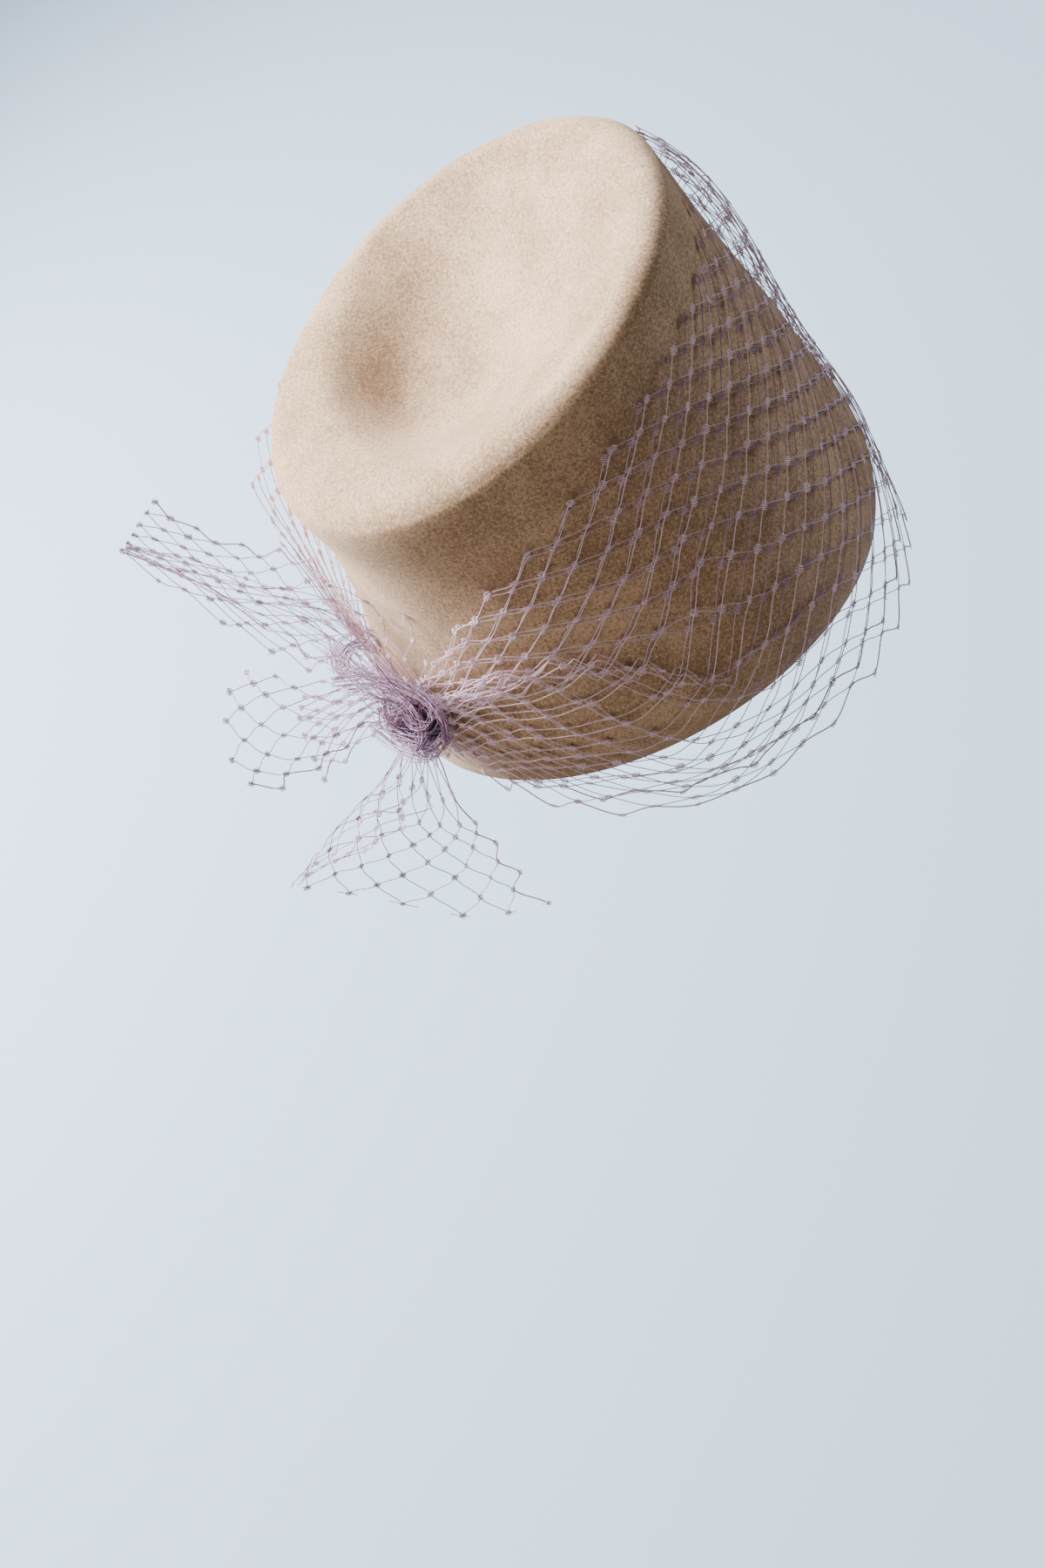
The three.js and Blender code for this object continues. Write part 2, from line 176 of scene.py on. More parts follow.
# %% The ovals of the crown
CROWN = columns_of(
    ["height", "slope", "half_length", "half_width", "forward"],
    [
        (0, 0, 92, 79, 0),  # rim
        (10, 0, 93.2, 83.6, 1.3),  # tuck
        (27, 0.02, 93.5, 86, 2.5),  # bulge
        (63, 0.07, 86, 82.5, 3),  # waist
        (103, 0.18, 79.5, 80, -0.5),  # neck
        (130, 0.235, 78.4, 80.6, -4.7),  # under the edge
        (137, 0.235, 76.4, 78.6, -4.7),  # edge
        (140, 0.235, 70, 72, -4.7),  # top of the edge
        (138.4, 0.23, 55.6, 65.6, -2),  # lip
        (132.4, 0.23, 40, 50.7, -7),  # side of the dish
        (123, 0.245, 24, 30.4, -12),  # dish
        (115, 0.07, 10.6, 11.7, -21.5),  # floor of the dish
        (113, 0.05, 0, 0, -27),  # middle of the dish
    ],
)
LAST_SECTION = 12
BULGE_SECTION = 2
EDGE_SECTION = 5.5
EDGE_TOP_SECTION = 6
SMALL_STEP = 0.01  # of a section
SMALL_TURN = 0.5  # degrees


def crown_point(section, turn):
    """Points of the crown's outer face, in millimetres."""
    angle = np.radians(turn)
    ahead = CROWN["forward"](section) + CROWN["half_length"](section) * np.cos(angle)
    side = CROWN["half_width"](section) * np.sin(angle)
    height = CROWN["height"](section) + CROWN["slope"](section) * ahead
    return np.stack(np.broadcast_arrays(-side, -ahead, height), axis=-1)


def way_round(section, turn):
    """The direction that leads round the crown."""
    return crown_point(section, turn + SMALL_TURN) - crown_point(section, turn - SMALL_TURN)


def crown_normal(section, turn):
    """The direction square to the outer face."""
    section = np.clip(section, SMALL_STEP, LAST_SECTION - 2 * SMALL_STEP)
    up = crown_point(section + SMALL_STEP, turn) - crown_point(section - SMALL_STEP, turn)
    return unit(np.cross(up, way_round(section, turn)))


print("front of the edge", crown_point(EDGE_TOP_SECTION, 0.0).round(1), "mm")

# %% [markdown]
# The felt itself is a closed shell 2.4 mm thick: an outer face, an inner face and a cut edge at
# the rim. A lathe can't make it, since no two of its ovals share a shape, and sculpting by hand
# would be hard to keep true. A grid of points over the rule, ring by ring, gives clean quads.
# Real blocked felt is never perfectly even, so slow noise moves the faces by a few tenths.

# %% The felt crown
FELT_THICKNESS = 2.4
CROWN_SEGMENTS = 240
OUTER_RINGS = 150
INNER_RINGS = 44
HAND_BLOCKED = 0.45  # how far the surface strays from the rule
HAND_SCALE = 0.035  # and over what distance: one over millimetres
CUT_EDGE_STEPS = (0.12, 0.32, 0.5, 0.68, 0.88)  # across the felt, from outside to inside
CUT_EDGE_ROUND = 0.5


def mesh_object(name, points, faces):
    mesh = bpy.data.meshes.new(name)
    mesh.from_pydata([tuple(p) for p in points], [], faces)
    mesh.polygons.foreach_set("use_smooth", [True] * len(mesh.polygons))
    mesh.update()
    made = bpy.data.objects.new(name, mesh)
    bpy.context.scene.collection.objects.link(made)
    return made


def slow_noise(points, scale, seed):
    """Noise of -1 to 1 at each point. Each seed reads another place of the same noise."""
    shift = Vector((seed * 7.3, seed * 3.1, seed * 5.7))
    return np.array([noise.noise(Vector(p) * scale + shift) for p in points])


def crown_rings(count, depth):
    """Rings of one face of the crown, from the rim to the pole, in millimetres."""
    turns = np.arange(CROWN_SEGMENTS) * 360 / CROWN_SEGMENTS
    sections = np.arange(count) / count * LAST_SECTION
    section, turn = np.meshgrid(sections, turns, indexing="ij")
    points = crown_point(section, turn)
    out = crown_normal(section, turn)
    out[0, :, 2] = 0
    out[0] = unit(out[0])
    stray = slow_noise(points.reshape(-1, 3), HAND_SCALE, 1).reshape(section.shape)
    stray = HAND_BLOCKED * stray
    stray *= np.minimum(section / 2, 1)
    points = points + out * (stray - depth)[..., None]
    pole = crown_point(LAST_SECTION, 0.0) + np.array([0, 0, -depth])
    return points, pole


def ringed_faces(rings, first_pole=False):
    """Quads between rings of points, closed by a pole after them and maybe one before them."""
    start = 1 if first_pole else 0
    faces = []
    for k in range(CROWN_SEGMENTS):
        near, far = start + k, start + (k + 1) % CROWN_SEGMENTS
        if first_pole:
            faces.append((0, far, near))
        for ring in range(rings - 1):
            low, high = ring * CROWN_SEGMENTS, (ring + 1) * CROWN_SEGMENTS
            faces.append((low + near, low + far, high + far, high + near))
        last = (rings - 1) * CROWN_SEGMENTS
        faces.append((last + near, last + far, start + rings * CROWN_SEGMENTS))
    return faces


outer, outer_pole = crown_rings(OUTER_RINGS, 0)
inner, inner_pole = crown_rings(INNER_RINGS, FELT_THICKNESS)
cut_edge = [
    outer[0] * (1 - t) + inner[0] * t + np.array([0, 0, -CUT_EDGE_ROUND * math.sin(math.pi * t)])
    for t in CUT_EDGE_STEPS
]
rings = [*outer[::-1], *cut_edge, *inner]
points = [outer_pole, *np.concatenate(rings), inner_pole]
faces = ringed_faces(len(rings), first_pole=True)
felt_crown = mesh_object("felt_crown", np.array(points) * MM, faces)
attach(felt_crown, "root")
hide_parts("crown")
print("felt crown", len(faces), "faces")

# %% [markdown]
# Wool felt is a mat of fine fibres without weave. Near to, it shows a salt-and-pepper speckle
# of lighter and darker fibres and a short nap that catches light at its edges. In the shader
# that is three sizes of noise in the colour, a fine bump, high roughness and sheen. Constant
# values go straight on the shader's sockets.

# %% Felt material
class NodeMaker:
    """Adds nodes to a tree. An input is given a value, or the output that it is linked to."""

    def __init__(self, tree):
        self.tree = tree

    def give(self, node, inputs):
        for key, given in inputs.items():
            if isinstance(given, bpy.types.NodeSocket):
                self.tree.links.new(given, node.inputs[key])
            else:
                node.inputs[key].default_value = given

    def node(self, kind, inputs=None, **settings):
        made = self.tree.nodes.new(kind)
        for key, setting in settings.items():
            setattr(made, key, setting)
        self.give(made, inputs or {})
        return made

    def math(self, operation, *values):
        return self.node("ShaderNodeMath", dict(enumerate(values)), operation=operation).outputs[0]

    def noise(self, place, scale, detail, roughness=0.5, distortion=0.0):
        return self.node("ShaderNodeTexNoise", {
            "Vector": place, "Scale": scale, "Detail": detail, "Roughness": roughness,
            "Distortion": distortion,
        }).outputs["Fac"]

    def ramp(self, factor, stops):
        """A colour ramp. Each stop is its place and its colour."""
        made = self.node("ShaderNodeValToRGB", {"Fac": factor})
        elements = made.color_ramp.elements
        for element, (place, color) in zip(elements, (stops[0], stops[-1])):
            element.position = place
            element.color = (*color, 1)
        for place, color in stops[1:-1]:
            elements.new(place).color = (*color, 1)
        return made.outputs["Color"]


def new_material(name):
    made = bpy.data.materials.new(name)
    made.use_nodes = True
    maker = NodeMaker(made.node_tree)
    place = maker.node("ShaderNodeTexCoord").outputs["Object"]
    return made, maker, place


# How much each size of noise adds to the grain of the felt.
SPECKLE_SHARE = 0.6
FIBRE_SHARE = 0.4
MOTTLE_SHARE = 0.22


def felt_material(name, dark, middle, light):
    made, maker, place = new_material(name)
    speckle = maker.noise(place, 1050, 4, 0.7, 0.6)
    fibres = maker.noise(place, 3600, 2, 0.6, 1.2)
    mottle = maker.noise(place, 45, 3, 0.55)
    grain = maker.math("MULTIPLY_ADD", mottle, MOTTLE_SHARE, -MOTTLE_SHARE / 2)
    grain = maker.math("MULTIPLY_ADD", fibres, FIBRE_SHARE, grain)
    grain = maker.math("MULTIPLY_ADD", speckle, SPECKLE_SHARE, grain)
    bump = maker.node("ShaderNodeBump", {"Strength": 0.55, "Distance": 0.0005, "Height": grain})
    maker.give(made.node_tree.nodes["Principled BSDF"], {
        "Base Color": maker.ramp(grain, [(0.445, dark), (0.5, middle), (0.565, light)]),
        "Normal": bump.outputs["Normal"],
        "Roughness": 0.95,
        "Specular IOR Level": 0.15,
        "Sheen Weight": 0.45,
        "Sheen Roughness": 0.45,
        "Sheen Tint": (1.0, 0.83, 0.68, 1),
    })
    return made


camel_felt = felt_material(
    "camel wool felt", (0.31, 0.20, 0.122), (0.50, 0.345, 0.225), (0.70, 0.51, 0.345)
)
felt_crown.data.materials.append(camel_felt)
print("felt material", len(camel_felt.node_tree.nodes), "nodes")

# %% [markdown]
# Veiling is a strip of open knotted net. Its threads cross as diamonds, and at each crossing
# four or five short parallel threads are worked into a small flat pad. Modelling each mesh by
# hand would take weeks, and a wireframe modifier gives dead straight sticks. Here a plan of the
# net is laid over a surface in code: a chain of points for each strand and one free point for
# each pad. A pad also carries the direction square to the cloth and the one of its steep strand.

# %% A plan of netting over any surface
# How pale a thread is painted, from 0 to 1. This is painted light and shade: steep threads are
# painted paler for the light they catch along their length, level ones darker, and pads palest.
LEVEL_PAINTED_SHADE = 0.4
STEEP_PAINTED_HIGHLIGHT = 1.0
PAD_PAINTED_LIGHT = 1.15
# How thick a thread is against the others.
STUB_WEIGHT = 0.8
SELVAGE_WEIGHT = 1.5
STRAND_STEPS = 6
PAD_REACH = 0.3  # how far round a pad the lie of the cloth is read, in columns and rows


def plan_object(name, strands, weights, tones, pads):
    """Strands are open chains of points and pads are free points, each with what it needs."""
    count, length = strands.shape[:2]
    chain = np.arange(count * length).reshape(count, length)
    edges = np.stack([chain[:, :-1].ravel(), chain[:, 1:].ravel()], axis=1)
    mesh = bpy.data.meshes.new(name)
    places = np.concatenate([strands.reshape(-1, 3), pads["place"]])
    mesh.from_pydata([tuple(p) for p in places], [tuple(e) for e in edges.tolist()], [])
    blank = np.zeros((count * length, 3))
    columns = {
        "square": np.concatenate([blank, pads["square"]]),
        "along": np.concatenate([blank, pads["along"]]),
        "weight": np.concatenate([np.repeat(weights, length), pads["weight"]]),
        "tone": np.concatenate([np.repeat(tones, length), pads["tone"]]),
        "pad": np.concatenate([np.zeros(count * length), np.ones(len(pads["place"]))]),
    }
    for key, values in columns.items():
        vector = values.ndim == 2
        layer = mesh.attributes.new(key, "FLOAT_VECTOR" if vector else "FLOAT", "POINT")
        flat = np.ascontiguousarray(values, dtype=np.float32).ravel()
        layer.data.foreach_set("vector" if vector else "value", flat)
    made = bpy.data.objects.new(name, mesh)
    bpy.context.scene.collection.objects.link(made)
    return made, count, len(pads["place"])


def net_ends(columns, rows, stubs, chance):
    """One row for each strand: its two lattice places, its weight and its rise.

    A stub stops at a random part of its mesh, where the scissors passed.
    """
    ends = []
    for i in range(columns + 1):
        for j in range(i % 2, rows + 1, 2):
            for rise in (1, -1):
                if i < columns and 0 <= j + rise <= rows:
                    ends.append((i, j, i + 1, j + rise, 1.0, rise))
                if stubs and i == columns:
                    cut = chance.uniform(0.25, 0.6)
                    ends.append((i, j, i + cut, j + rise * cut, STUB_WEIGHT, rise))
    return np.array(ends, float)


def netting_plan(name, place, columns, rows, seed, unrest, bend=0.3, selvage_row=None,
                 stubs=False, paleness=np.ones_like, level_tone=lambda i, j: LEVEL_PAINTED_SHADE):
    """place(i, j) gives metres for lattice numbers. Pads lie where i + j is even.

    bend is how much the strands curve, unrest how far the pads stray, as one number or one for
    each column, and stubs adds the cut threads past the last column.
    """
    chance = np.random.default_rng(seed)
    drift = chance.normal(0, 1, (columns + 3, rows + 3, 2)).clip(-2, 2)
    drift *= np.reshape(unrest, (-1, 1, 1))

    def at(i, j):
        return place(np.clip(i, 0, columns + 1), np.clip(j, 0, rows))

    ends = net_ends(columns, rows, stubs, chance)
    t = np.linspace(0, 1, STRAND_STEPS + 1)[None, :]
    eased = t - bend * np.sin(2 * np.pi * t) / (2 * np.pi)
    i = ends[:, :1] + (ends[:, 2:3] - ends[:, :1]) * t
    j = ends[:, 1:2] + (ends[:, 3:4] - ends[:, 1:2]) * eased
    first = drift[ends[:, 0].astype(int), ends[:, 1].astype(int)][:, None]
    second = drift[np.rint(ends[:, 2]).astype(int), np.rint(ends[:, 3]).astype(int)][:, None]
    moved = first * (1 - t[..., None]) + second * t[..., None]
    strands = at(i + moved[..., 0], j + moved[..., 1])

    weights = ends[:, 4]
    if selvage_row is not None:
        on_selvage = np.minimum(ends[:, 1], ends[:, 3]) == max(selvage_row - 1, 0)
        weights = np.where(on_selvage, weights * SELVAGE_WEIGHT, weights)
    # Painted light and shade: steep strands are painted paler than level ones, pads palest, all
    # scaled by each column's painted paleness.
    tones = np.where(ends[:, 5] < 0, STEEP_PAINTED_HIGHLIGHT, level_tone(ends[:, 0], ends[:, 1]))
    tones = tones * paleness(ends[:, 0])

    knots = np.array([(a, b) for a in range(columns + 1) for b in range(a % 2, rows + 1, 2)])
    a, b = (knots + drift[knots[:, 0], knots[:, 1]]).T
    r = PAD_REACH
    steep = at(a + r, b - r) - at(a - r, b + r)
    level = at(a + r, b + r) - at(a - r, b - r)
    pads = {"place": at(a, b), "square": unit(np.cross(steep, level)), "along": unit(steep),
            "weight": np.ones(len(knots)), "tone": PAD_PAINTED_LIGHT * paleness(a)}
    return plan_object(name, strands, weights, tones, pads)


print("a net of 4 columns and 2 rows has", len(net_ends(4, 2, False, None)), "strands")

# %% [markdown]
# A node tree then turns any such plan into thread. It draws each strand as a fine tube that
# strays a little between the pads, and sets a pad of short bars on each free point, turned to
# lie flat in the cloth. Every size is a named input of the tree, so that one tree makes the
# veil, the tails and the knot. It ends in Realize Instances and Set Material. Linking nodes
# one by one takes hundreds of lines, so a small builder adds a node and links it in one call.

# %% A builder of node trees
class TreeBuilder(NodeMaker):
    """A node maker for a new Geometry Nodes tree with named inputs."""

    def __init__(self, name, sizes):
        super().__init__(bpy.data.node_groups.new(name, "GeometryNodeTree"))
        for way in ("INPUT", "OUTPUT"):
            self.tree.interface.new_socket("Geometry", in_out=way,
                                           socket_type="NodeSocketGeometry")
        self.identifiers = {}
        for key, default in {**sizes, "Seed": 1, "Material": None}.items():
            kind = {int: "Int", float: "Float"}.get(type(default), "Material")
            socket = self.tree.interface.new_socket(key, in_out="INPUT",
                                                    socket_type="NodeSocket" + kind)
            if default is not None:
                socket.default_value = default
            self.identifiers[key] = socket.identifier
        self.given = self.tree.nodes.new("NodeGroupInput").outputs

    def attribute(self, name, kind):
        return self.node("GeometryNodeInputNamedAttribute", {"Name": name},
                         data_type=kind).outputs["Attribute"]

    def scaled(self, vector, factor):
        return self.node("ShaderNodeVectorMath", {0: vector, "Scale": factor},
                         operation="SCALE").outputs[0]

    def vector(self, x=0.0, y=0.0, z=0.0):
        return self.node("ShaderNodeCombineXYZ", {"X": x, "Y": y, "Z": z}).outputs[0]

    def random(self, least, most, kind="FLOAT"):
        """A random value for each point, with the tree's seed."""
        first, output = (0, 0) if kind == "FLOAT_VECTOR" else (2, 1)
        return self.node("FunctionNodeRandomValue",
                         {first: least, first + 1: most, "Seed": self.given["Seed"]},
                         data_type=kind).outputs[output]

    def joined(self, *parts):
        whole = self.node("GeometryNodeJoinGeometry")
        for part in parts:
            self.tree.links.new(part, whole.inputs[0])
        return whole.outputs[0]

    def finish(self, geometry):
        done = self.node("GeometryNodeSetMaterial",
                         {"Geometry": geometry, "Material": self.given["Material"]})
        self.node("NodeGroupOutput", {"Geometry": done.outputs[0]})
        return self


# %% [markdown]
# The tree has two halves. One turns the strands to tubes that swell off their straight line in
# the middle, and the other copies a pad to each free point. Slim cones set end to end make the
# bars of a pad, because a pad is repeated hundreds of times and may have only a few dozen faces.

# %% The netting tree
WOBBLE_SCALE = 70.0
BAR_TAPER = 0.55
OUTER_BARS_SHORTER = 0.42
PAD_LEAN = (0.25, 0.25, 0.45)
PAD_SIZES = (0.8, 1.15)


def strand_tubes(b):
    """Each strand as a tube that strays a little between its two ends."""
    given = b.given
    strands = b.node("GeometryNodeMeshToCurve", {"Mesh": given["Geometry"]}).outputs["Curve"]
    along = b.node("GeometryNodeSplineParameter").outputs["Factor"]
    swell = b.math("SINE", b.math("MULTIPLY", along, math.pi))
    wave = b.node("ShaderNodeTexNoise", {"Scale": WOBBLE_SCALE, "Detail": 1.0}).outputs["Color"]
    centred = b.node("ShaderNodeVectorMath", {0: wave, 1: (0.5, 0.5, 0.5)},
                     operation="SUBTRACT").outputs[0]
    wobble = b.scaled(b.scaled(centred, given["Wobble"]), swell)
    laid = b.node("GeometryNodeSetPosition", {"Geometry": strands, "Offset": wobble})
    profile = b.node("GeometryNodeCurvePrimitiveCircle",
                     {"Resolution": given["Thread Sides"],
                      "Radius": b.math("MULTIPLY", given["Thread"], 0.5)}).outputs["Curve"]
    tube = b.node("GeometryNodeCurveToMesh",
                  {"Curve": laid.outputs["Geometry"], "Profile Curve": profile,
                   "Scale": b.attribute("weight", "FLOAT"), "Fill Caps": True})
    return tube.outputs["Mesh"]


def pad_of_bars(b):
    """Short spindles side by side. The middle ones are the longest, as in a diamond."""
    given = b.given
    half_bar = b.math("MULTIPLY", given["Pad Bar"], 0.5)
    half_length = b.math("MULTIPLY", given["Pad Length"], 0.5)
    cone = b.node("GeometryNodeMeshCone",
                  {"Vertices": 4, "Side Segments": 1,
                   "Radius Top": b.math("MULTIPLY", half_bar, BAR_TAPER),
                   "Radius Bottom": half_bar, "Depth": half_length}).outputs["Mesh"]
    spindle = b.joined(*(
        b.node("GeometryNodeTransform",
               {"Geometry": cone, "Rotation": (way * math.pi / 2, 0, 0)}).outputs["Geometry"]
        for way in (-1, 1)
    ))
    pitch = given["Pad Pitch"]
    last = b.math("SUBTRACT", given["Pad Bars"], 1.0)
    first = b.math("MULTIPLY", b.math("MULTIPLY", pitch, last), -0.5)
    line = b.node("GeometryNodeMeshLine", {
        "Count": given["Pad Bars"], "Start Location": b.vector(first), "Offset": b.vector(pitch),
    }).outputs["Mesh"]
    middle = b.math("MULTIPLY", last, 0.5)
    order = b.node("GeometryNodeInputIndex").outputs[0]
    aside = b.math("DIVIDE", b.math("ABSOLUTE", b.math("SUBTRACT", order, middle)),
                   b.math("MAXIMUM", middle, 0.5))
    length = b.math("SUBTRACT", 1.0, b.math("MULTIPLY", aside, OUTER_BARS_SHORTER))
    bars = b.node("GeometryNodeInstanceOnPoints",
                  {"Points": line, "Instance": spindle, "Scale": b.vector(1.0, length, 1.0)})
    return b.node("GeometryNodeRealizeInstances",
                  {"Geometry": bars.outputs["Instances"]}).outputs["Geometry"]


def netting_tree():
    b = TreeBuilder("netting", {
        "Thread": 0.00034, "Thread Sides": 5, "Pad Length": 0.0030, "Pad Bars": 5,
        "Pad Bar": 0.0005, "Pad Pitch": 0.0006, "Wobble": 0.00035,
    })
    given = b.given
    thread = strand_tubes(b)
    pad = pad_of_bars(b)
    is_pad = b.math("GREATER_THAN", b.attribute("pad", "FLOAT"), 0.5)
    spots = b.node("GeometryNodeMeshToPoints",
                   {"Mesh": given["Geometry"], "Selection": is_pad}).outputs["Points"]
    flat = b.node("FunctionNodeAxesToRotation",
                  {"Primary Axis": b.attribute("square", "FLOAT_VECTOR"),
                   "Secondary Axis": b.attribute("along", "FLOAT_VECTOR")},
                  primary_axis="Z", secondary_axis="X").outputs["Rotation"]
    lean = b.random([-angle for angle in PAD_LEAN], PAD_LEAN, "FLOAT_VECTOR")
    turned = b.node("FunctionNodeRotateRotation", {"Rotation": flat, "Rotate By": lean},
                    rotation_space="LOCAL").outputs["Rotation"]
    size = b.random(*PAD_SIZES)
    scale = b.scaled(b.vector(size, size, size), b.attribute("weight", "FLOAT"))
    pads = b.node("GeometryNodeInstanceOnPoints",
                  {"Points": spots, "Instance": pad, "Rotation": turned, "Scale": scale})
    real = b.node("GeometryNodeRealizeInstances",
                  {"Geometry": b.joined(thread, pads.outputs["Instances"])})
    shaded = b.node("GeometryNodeSetShadeSmooth", {"Geometry": real.outputs[0]})
    return b.finish(shaded.outputs[0])


NETTING = netting_tree()
print("netting tree", len(NETTING.tree.nodes), "nodes")

# %% [markdown]
# A tree is run by a modifier, and its sizes are set by the identifiers of its sockets. The result
# is read back as a plain mesh, so that the piece needs no modifier.

# %% Running a tree
def grown(base, builder, name, material, **sizes):
    """Runs a node tree on base, and returns the result as a plain object in its place."""
    modifier = base.modifiers.new(name, "NODES")
    modifier.node_group = builder.tree
    modifier[builder.identifiers["Material"]] = material
    for key, size in sizes.items():
        modifier[builder.identifiers[key.replace("_", " ")]] = size
    seen = base.evaluated_get(bpy.context.evaluated_depsgraph_get())
    mesh = bpy.data.meshes.new_from_object(seen)
    bpy.data.objects.remove(base)
    mesh.name = name
    piece = bpy.data.objects.new(name, mesh)
    bpy.context.scene.collection.objects.link(piece)
    if not mesh.materials or mesh.materials[0] is None:
        mesh.materials.clear()
        mesh.materials.append(material)
    return piece, sum(len(p.vertices) - 2 for p in mesh.polygons)


# %% [markdown]
# The nap of the felt is loose fibre ends, a millimetre or so long, that lean every way. Bump in
# a shader cannot show them against the light, where they blur the outline of the ridge. A hair
# system would be lost in the export, so a small tree sows thin three-sided cones over the outer
# face, each leaning at random, with a fixed seed.

# %% Nap of the felt
FIBRE_LENGTHS = (0.5, 1.2)


def nap_tree():
    b = TreeBuilder("nap", {
        "Fibres": 500000.0, "Thickness": 0.00013, "Length": 0.0018, "Lean": 0.95,
    })
    given = b.given
    sown = b.node("GeometryNodeDistributePointsOnFaces",
                  {"Mesh": given["Geometry"], "Density": given["Fibres"],
                   "Seed": given["Seed"]})
    fibre = b.node("GeometryNodeMeshCone",
                   {"Vertices": 3, "Side Segments": 1, "Radius Top": 0.0,
                    "Radius Bottom": b.math("MULTIPLY", given["Thickness"], 0.5),
                    "Depth": given["Length"]})
    back = b.math("MULTIPLY", given["Lean"], -1.0)
    lean = b.random(b.vector(back, back, -math.pi),
                    b.vector(given["Lean"], given["Lean"], math.pi), "FLOAT_VECTOR")
    turned = b.node("FunctionNodeRotateRotation",
                    {"Rotation": sown.outputs["Rotation"], "Rotate By": lean},
                    rotation_space="LOCAL").outputs["Rotation"]
    fibres = b.node("GeometryNodeInstanceOnPoints",
                    {"Points": sown.outputs["Points"], "Instance": fibre.outputs["Mesh"],
                     "Rotation": turned,
                     "Scale": b.vector(1.0, 1.0, b.random(*FIBRE_LENGTHS))})
    real = b.node("GeometryNodeRealizeInstances", {"Geometry": fibres.outputs["Instances"]})
    return b.finish(real.outputs[0])


NAP = nap_tree()
ground_points = [*np.concatenate(outer), outer_pole]
nap_ground = mesh_object("nap_ground", np.array(ground_points) * MM, ringed_faces(OUTER_RINGS))
felt_nap, nap_triangles = grown(nap_ground, NAP, "felt_nap", camel_felt, Seed=2)
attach(felt_nap, "root")
print("felt nap", nap_triangles, "triangles")

# %% [markdown]
# The threads are dyed synthetic filament, a dusty mauve with a slight lustre. Pads are painted
# paler, for the light that passes through their thin flat threads. A noise along the cloth shifts
# the dye a little, and a fine wave stands for the twist of the thread.

# %% Net material
DYE_UNEVEN = 0.7


def thread_material(name, shade, light, dye_scale=220, dye_distortion=0.0,
                    bump_distance=0.00005):
    made, maker, place = new_material(name)
    tone = maker.node("ShaderNodeAttribute", attribute_name="tone").outputs["Fac"]
    dye = maker.noise(place, dye_scale, 3, distortion=dye_distortion)
    uneven = maker.math("MULTIPLY_ADD", dye, DYE_UNEVEN, -DYE_UNEVEN / 2)
    # Painted light and shade: the tone that each strand and pad carries moves the dye along the
    # ramp from shade to light.
    paleness = maker.math("ADD", uneven, tone)
    twist = maker.node("ShaderNodeTexWave", {"Vector": place, "Scale": 900, "Distortion": 2})
    bump = maker.node("ShaderNodeBump", {"Strength": 0.3, "Distance": bump_distance,
                                         "Height": twist.outputs["Fac"]})
    maker.give(made.node_tree.nodes["Principled BSDF"], {
        "Base Color": maker.ramp(paleness, [(0.0, shade), (1.0, light)]),
        "Normal": bump.outputs["Normal"],
        "Roughness": 0.42,
        "Specular IOR Level": 0.4,
        "Sheen Weight": 0.25,
        "Sheen Roughness": 0.4,
    })
    return made


veiling_thread = thread_material(
    "mauve veiling thread", (0.29, 0.14, 0.25), (0.92, 0.72, 0.87)
)
# Painted shade: where the net lies in many layers, the threads shade each other, so this copy of
# the thread is painted darker.
thread_in_painted_shade = thread_material(
    "mauve veiling thread in painted shade", (0.21, 0.10, 0.21), (0.66, 0.46, 0.67)
)
print("thread material", len(veiling_thread.node_tree.nodes), "nodes")

# %% [markdown]
# One short function makes every net piece: it joins the plans that belong to the piece, runs the
# netting tree on them, attaches the piece to the body it rides on and hides the solid it stands
# for.

# %% Weaving a piece
def weave(name, plans, material, replaces=(), slot="net", **sizes):
    """Runs the netting tree on plans and returns one plain mesh object."""
    base = plans[0][0]
    if len(plans) > 1:
        with bpy.context.temp_override(
            active_object=base, selected_editable_objects=[plan[0] for plan in plans]
        ):
            bpy.ops.object.join()
    piece, triangles = grown(base, NETTING, name, material, **sizes)
    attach(piece, "root")
    if replaces:
        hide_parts(*replaces)
    print(name, sum(plan[1] for plan in plans), "strands,", sum(plan[2] for plan in plans),
          "pads,", triangles, "triangles")
    return piece


# %% [markdown]
# The veil lies against the crown above the bulge. Below it the net hangs straight down past the
# rim, and at the front and the far back its upper edge stands off the felt. A simulated cloth
# would pull the even meshes out of shape, and a shrinkwrapped one would be drawn in under the
# bulge. So the surface is a rule. A short table gives the strip's two edges against the turn
# round the hat, 0 at the front and 90 on the wearer's right, and a point is found over the wall.

# %% The surface of the veil
HALVINGS = 20
VEIL = columns_of(
    ["turn", "upper", "lower", "flare", "belly"],
    [
        (-206, 46, 28, 3, 0), (-197, 66, 14, 7, 0), (-186, 88, 3, 9, 0), (-172, 106, -7, 9, 0),
        (-152, 110, -10, 8, 0), (-130, 114, -12, 5, 0), (-60, 130, -12, 0, 1),
        (-20, 147, -12, 0, 5), (3, 150, -13, 0, 6.5), (13, 142, -15, 0, 5), (25, 135, -17, 0, 2.5),
        (50, 130.5, -22, 0, 0), (70, 124, -24, 0, 0), (92, 112, -24, 0, 0), (121, 89, -14, 0, 0),
        (134, 75, -4, 0, 0), (145, 58, 7, 0, 0), (154, 47, 22, 0, 0),
    ],
    against="turn",
)


def section_at_height(turn, height):
    """Halves a range of sections until it closes on the height."""
    low = np.full(np.shape(turn), float(BULGE_SECTION))
    high = np.full(np.shape(turn), float(EDGE_SECTION))
    for _ in range(HALVINGS):
        middle = (low + high) / 2
        below = crown_point(middle, turn)[..., 2] < height
        low, high = np.where(below, middle, low), np.where(below, high, middle)
    return (low + high) / 2


def outward_at(section, turn):
    """The level direction that leads away from the crown."""
    along = way_round(section, turn)
    out = np.stack([-along[..., 1], along[..., 0], np.zeros_like(along[..., 0])], axis=-1)
    return unit(out)


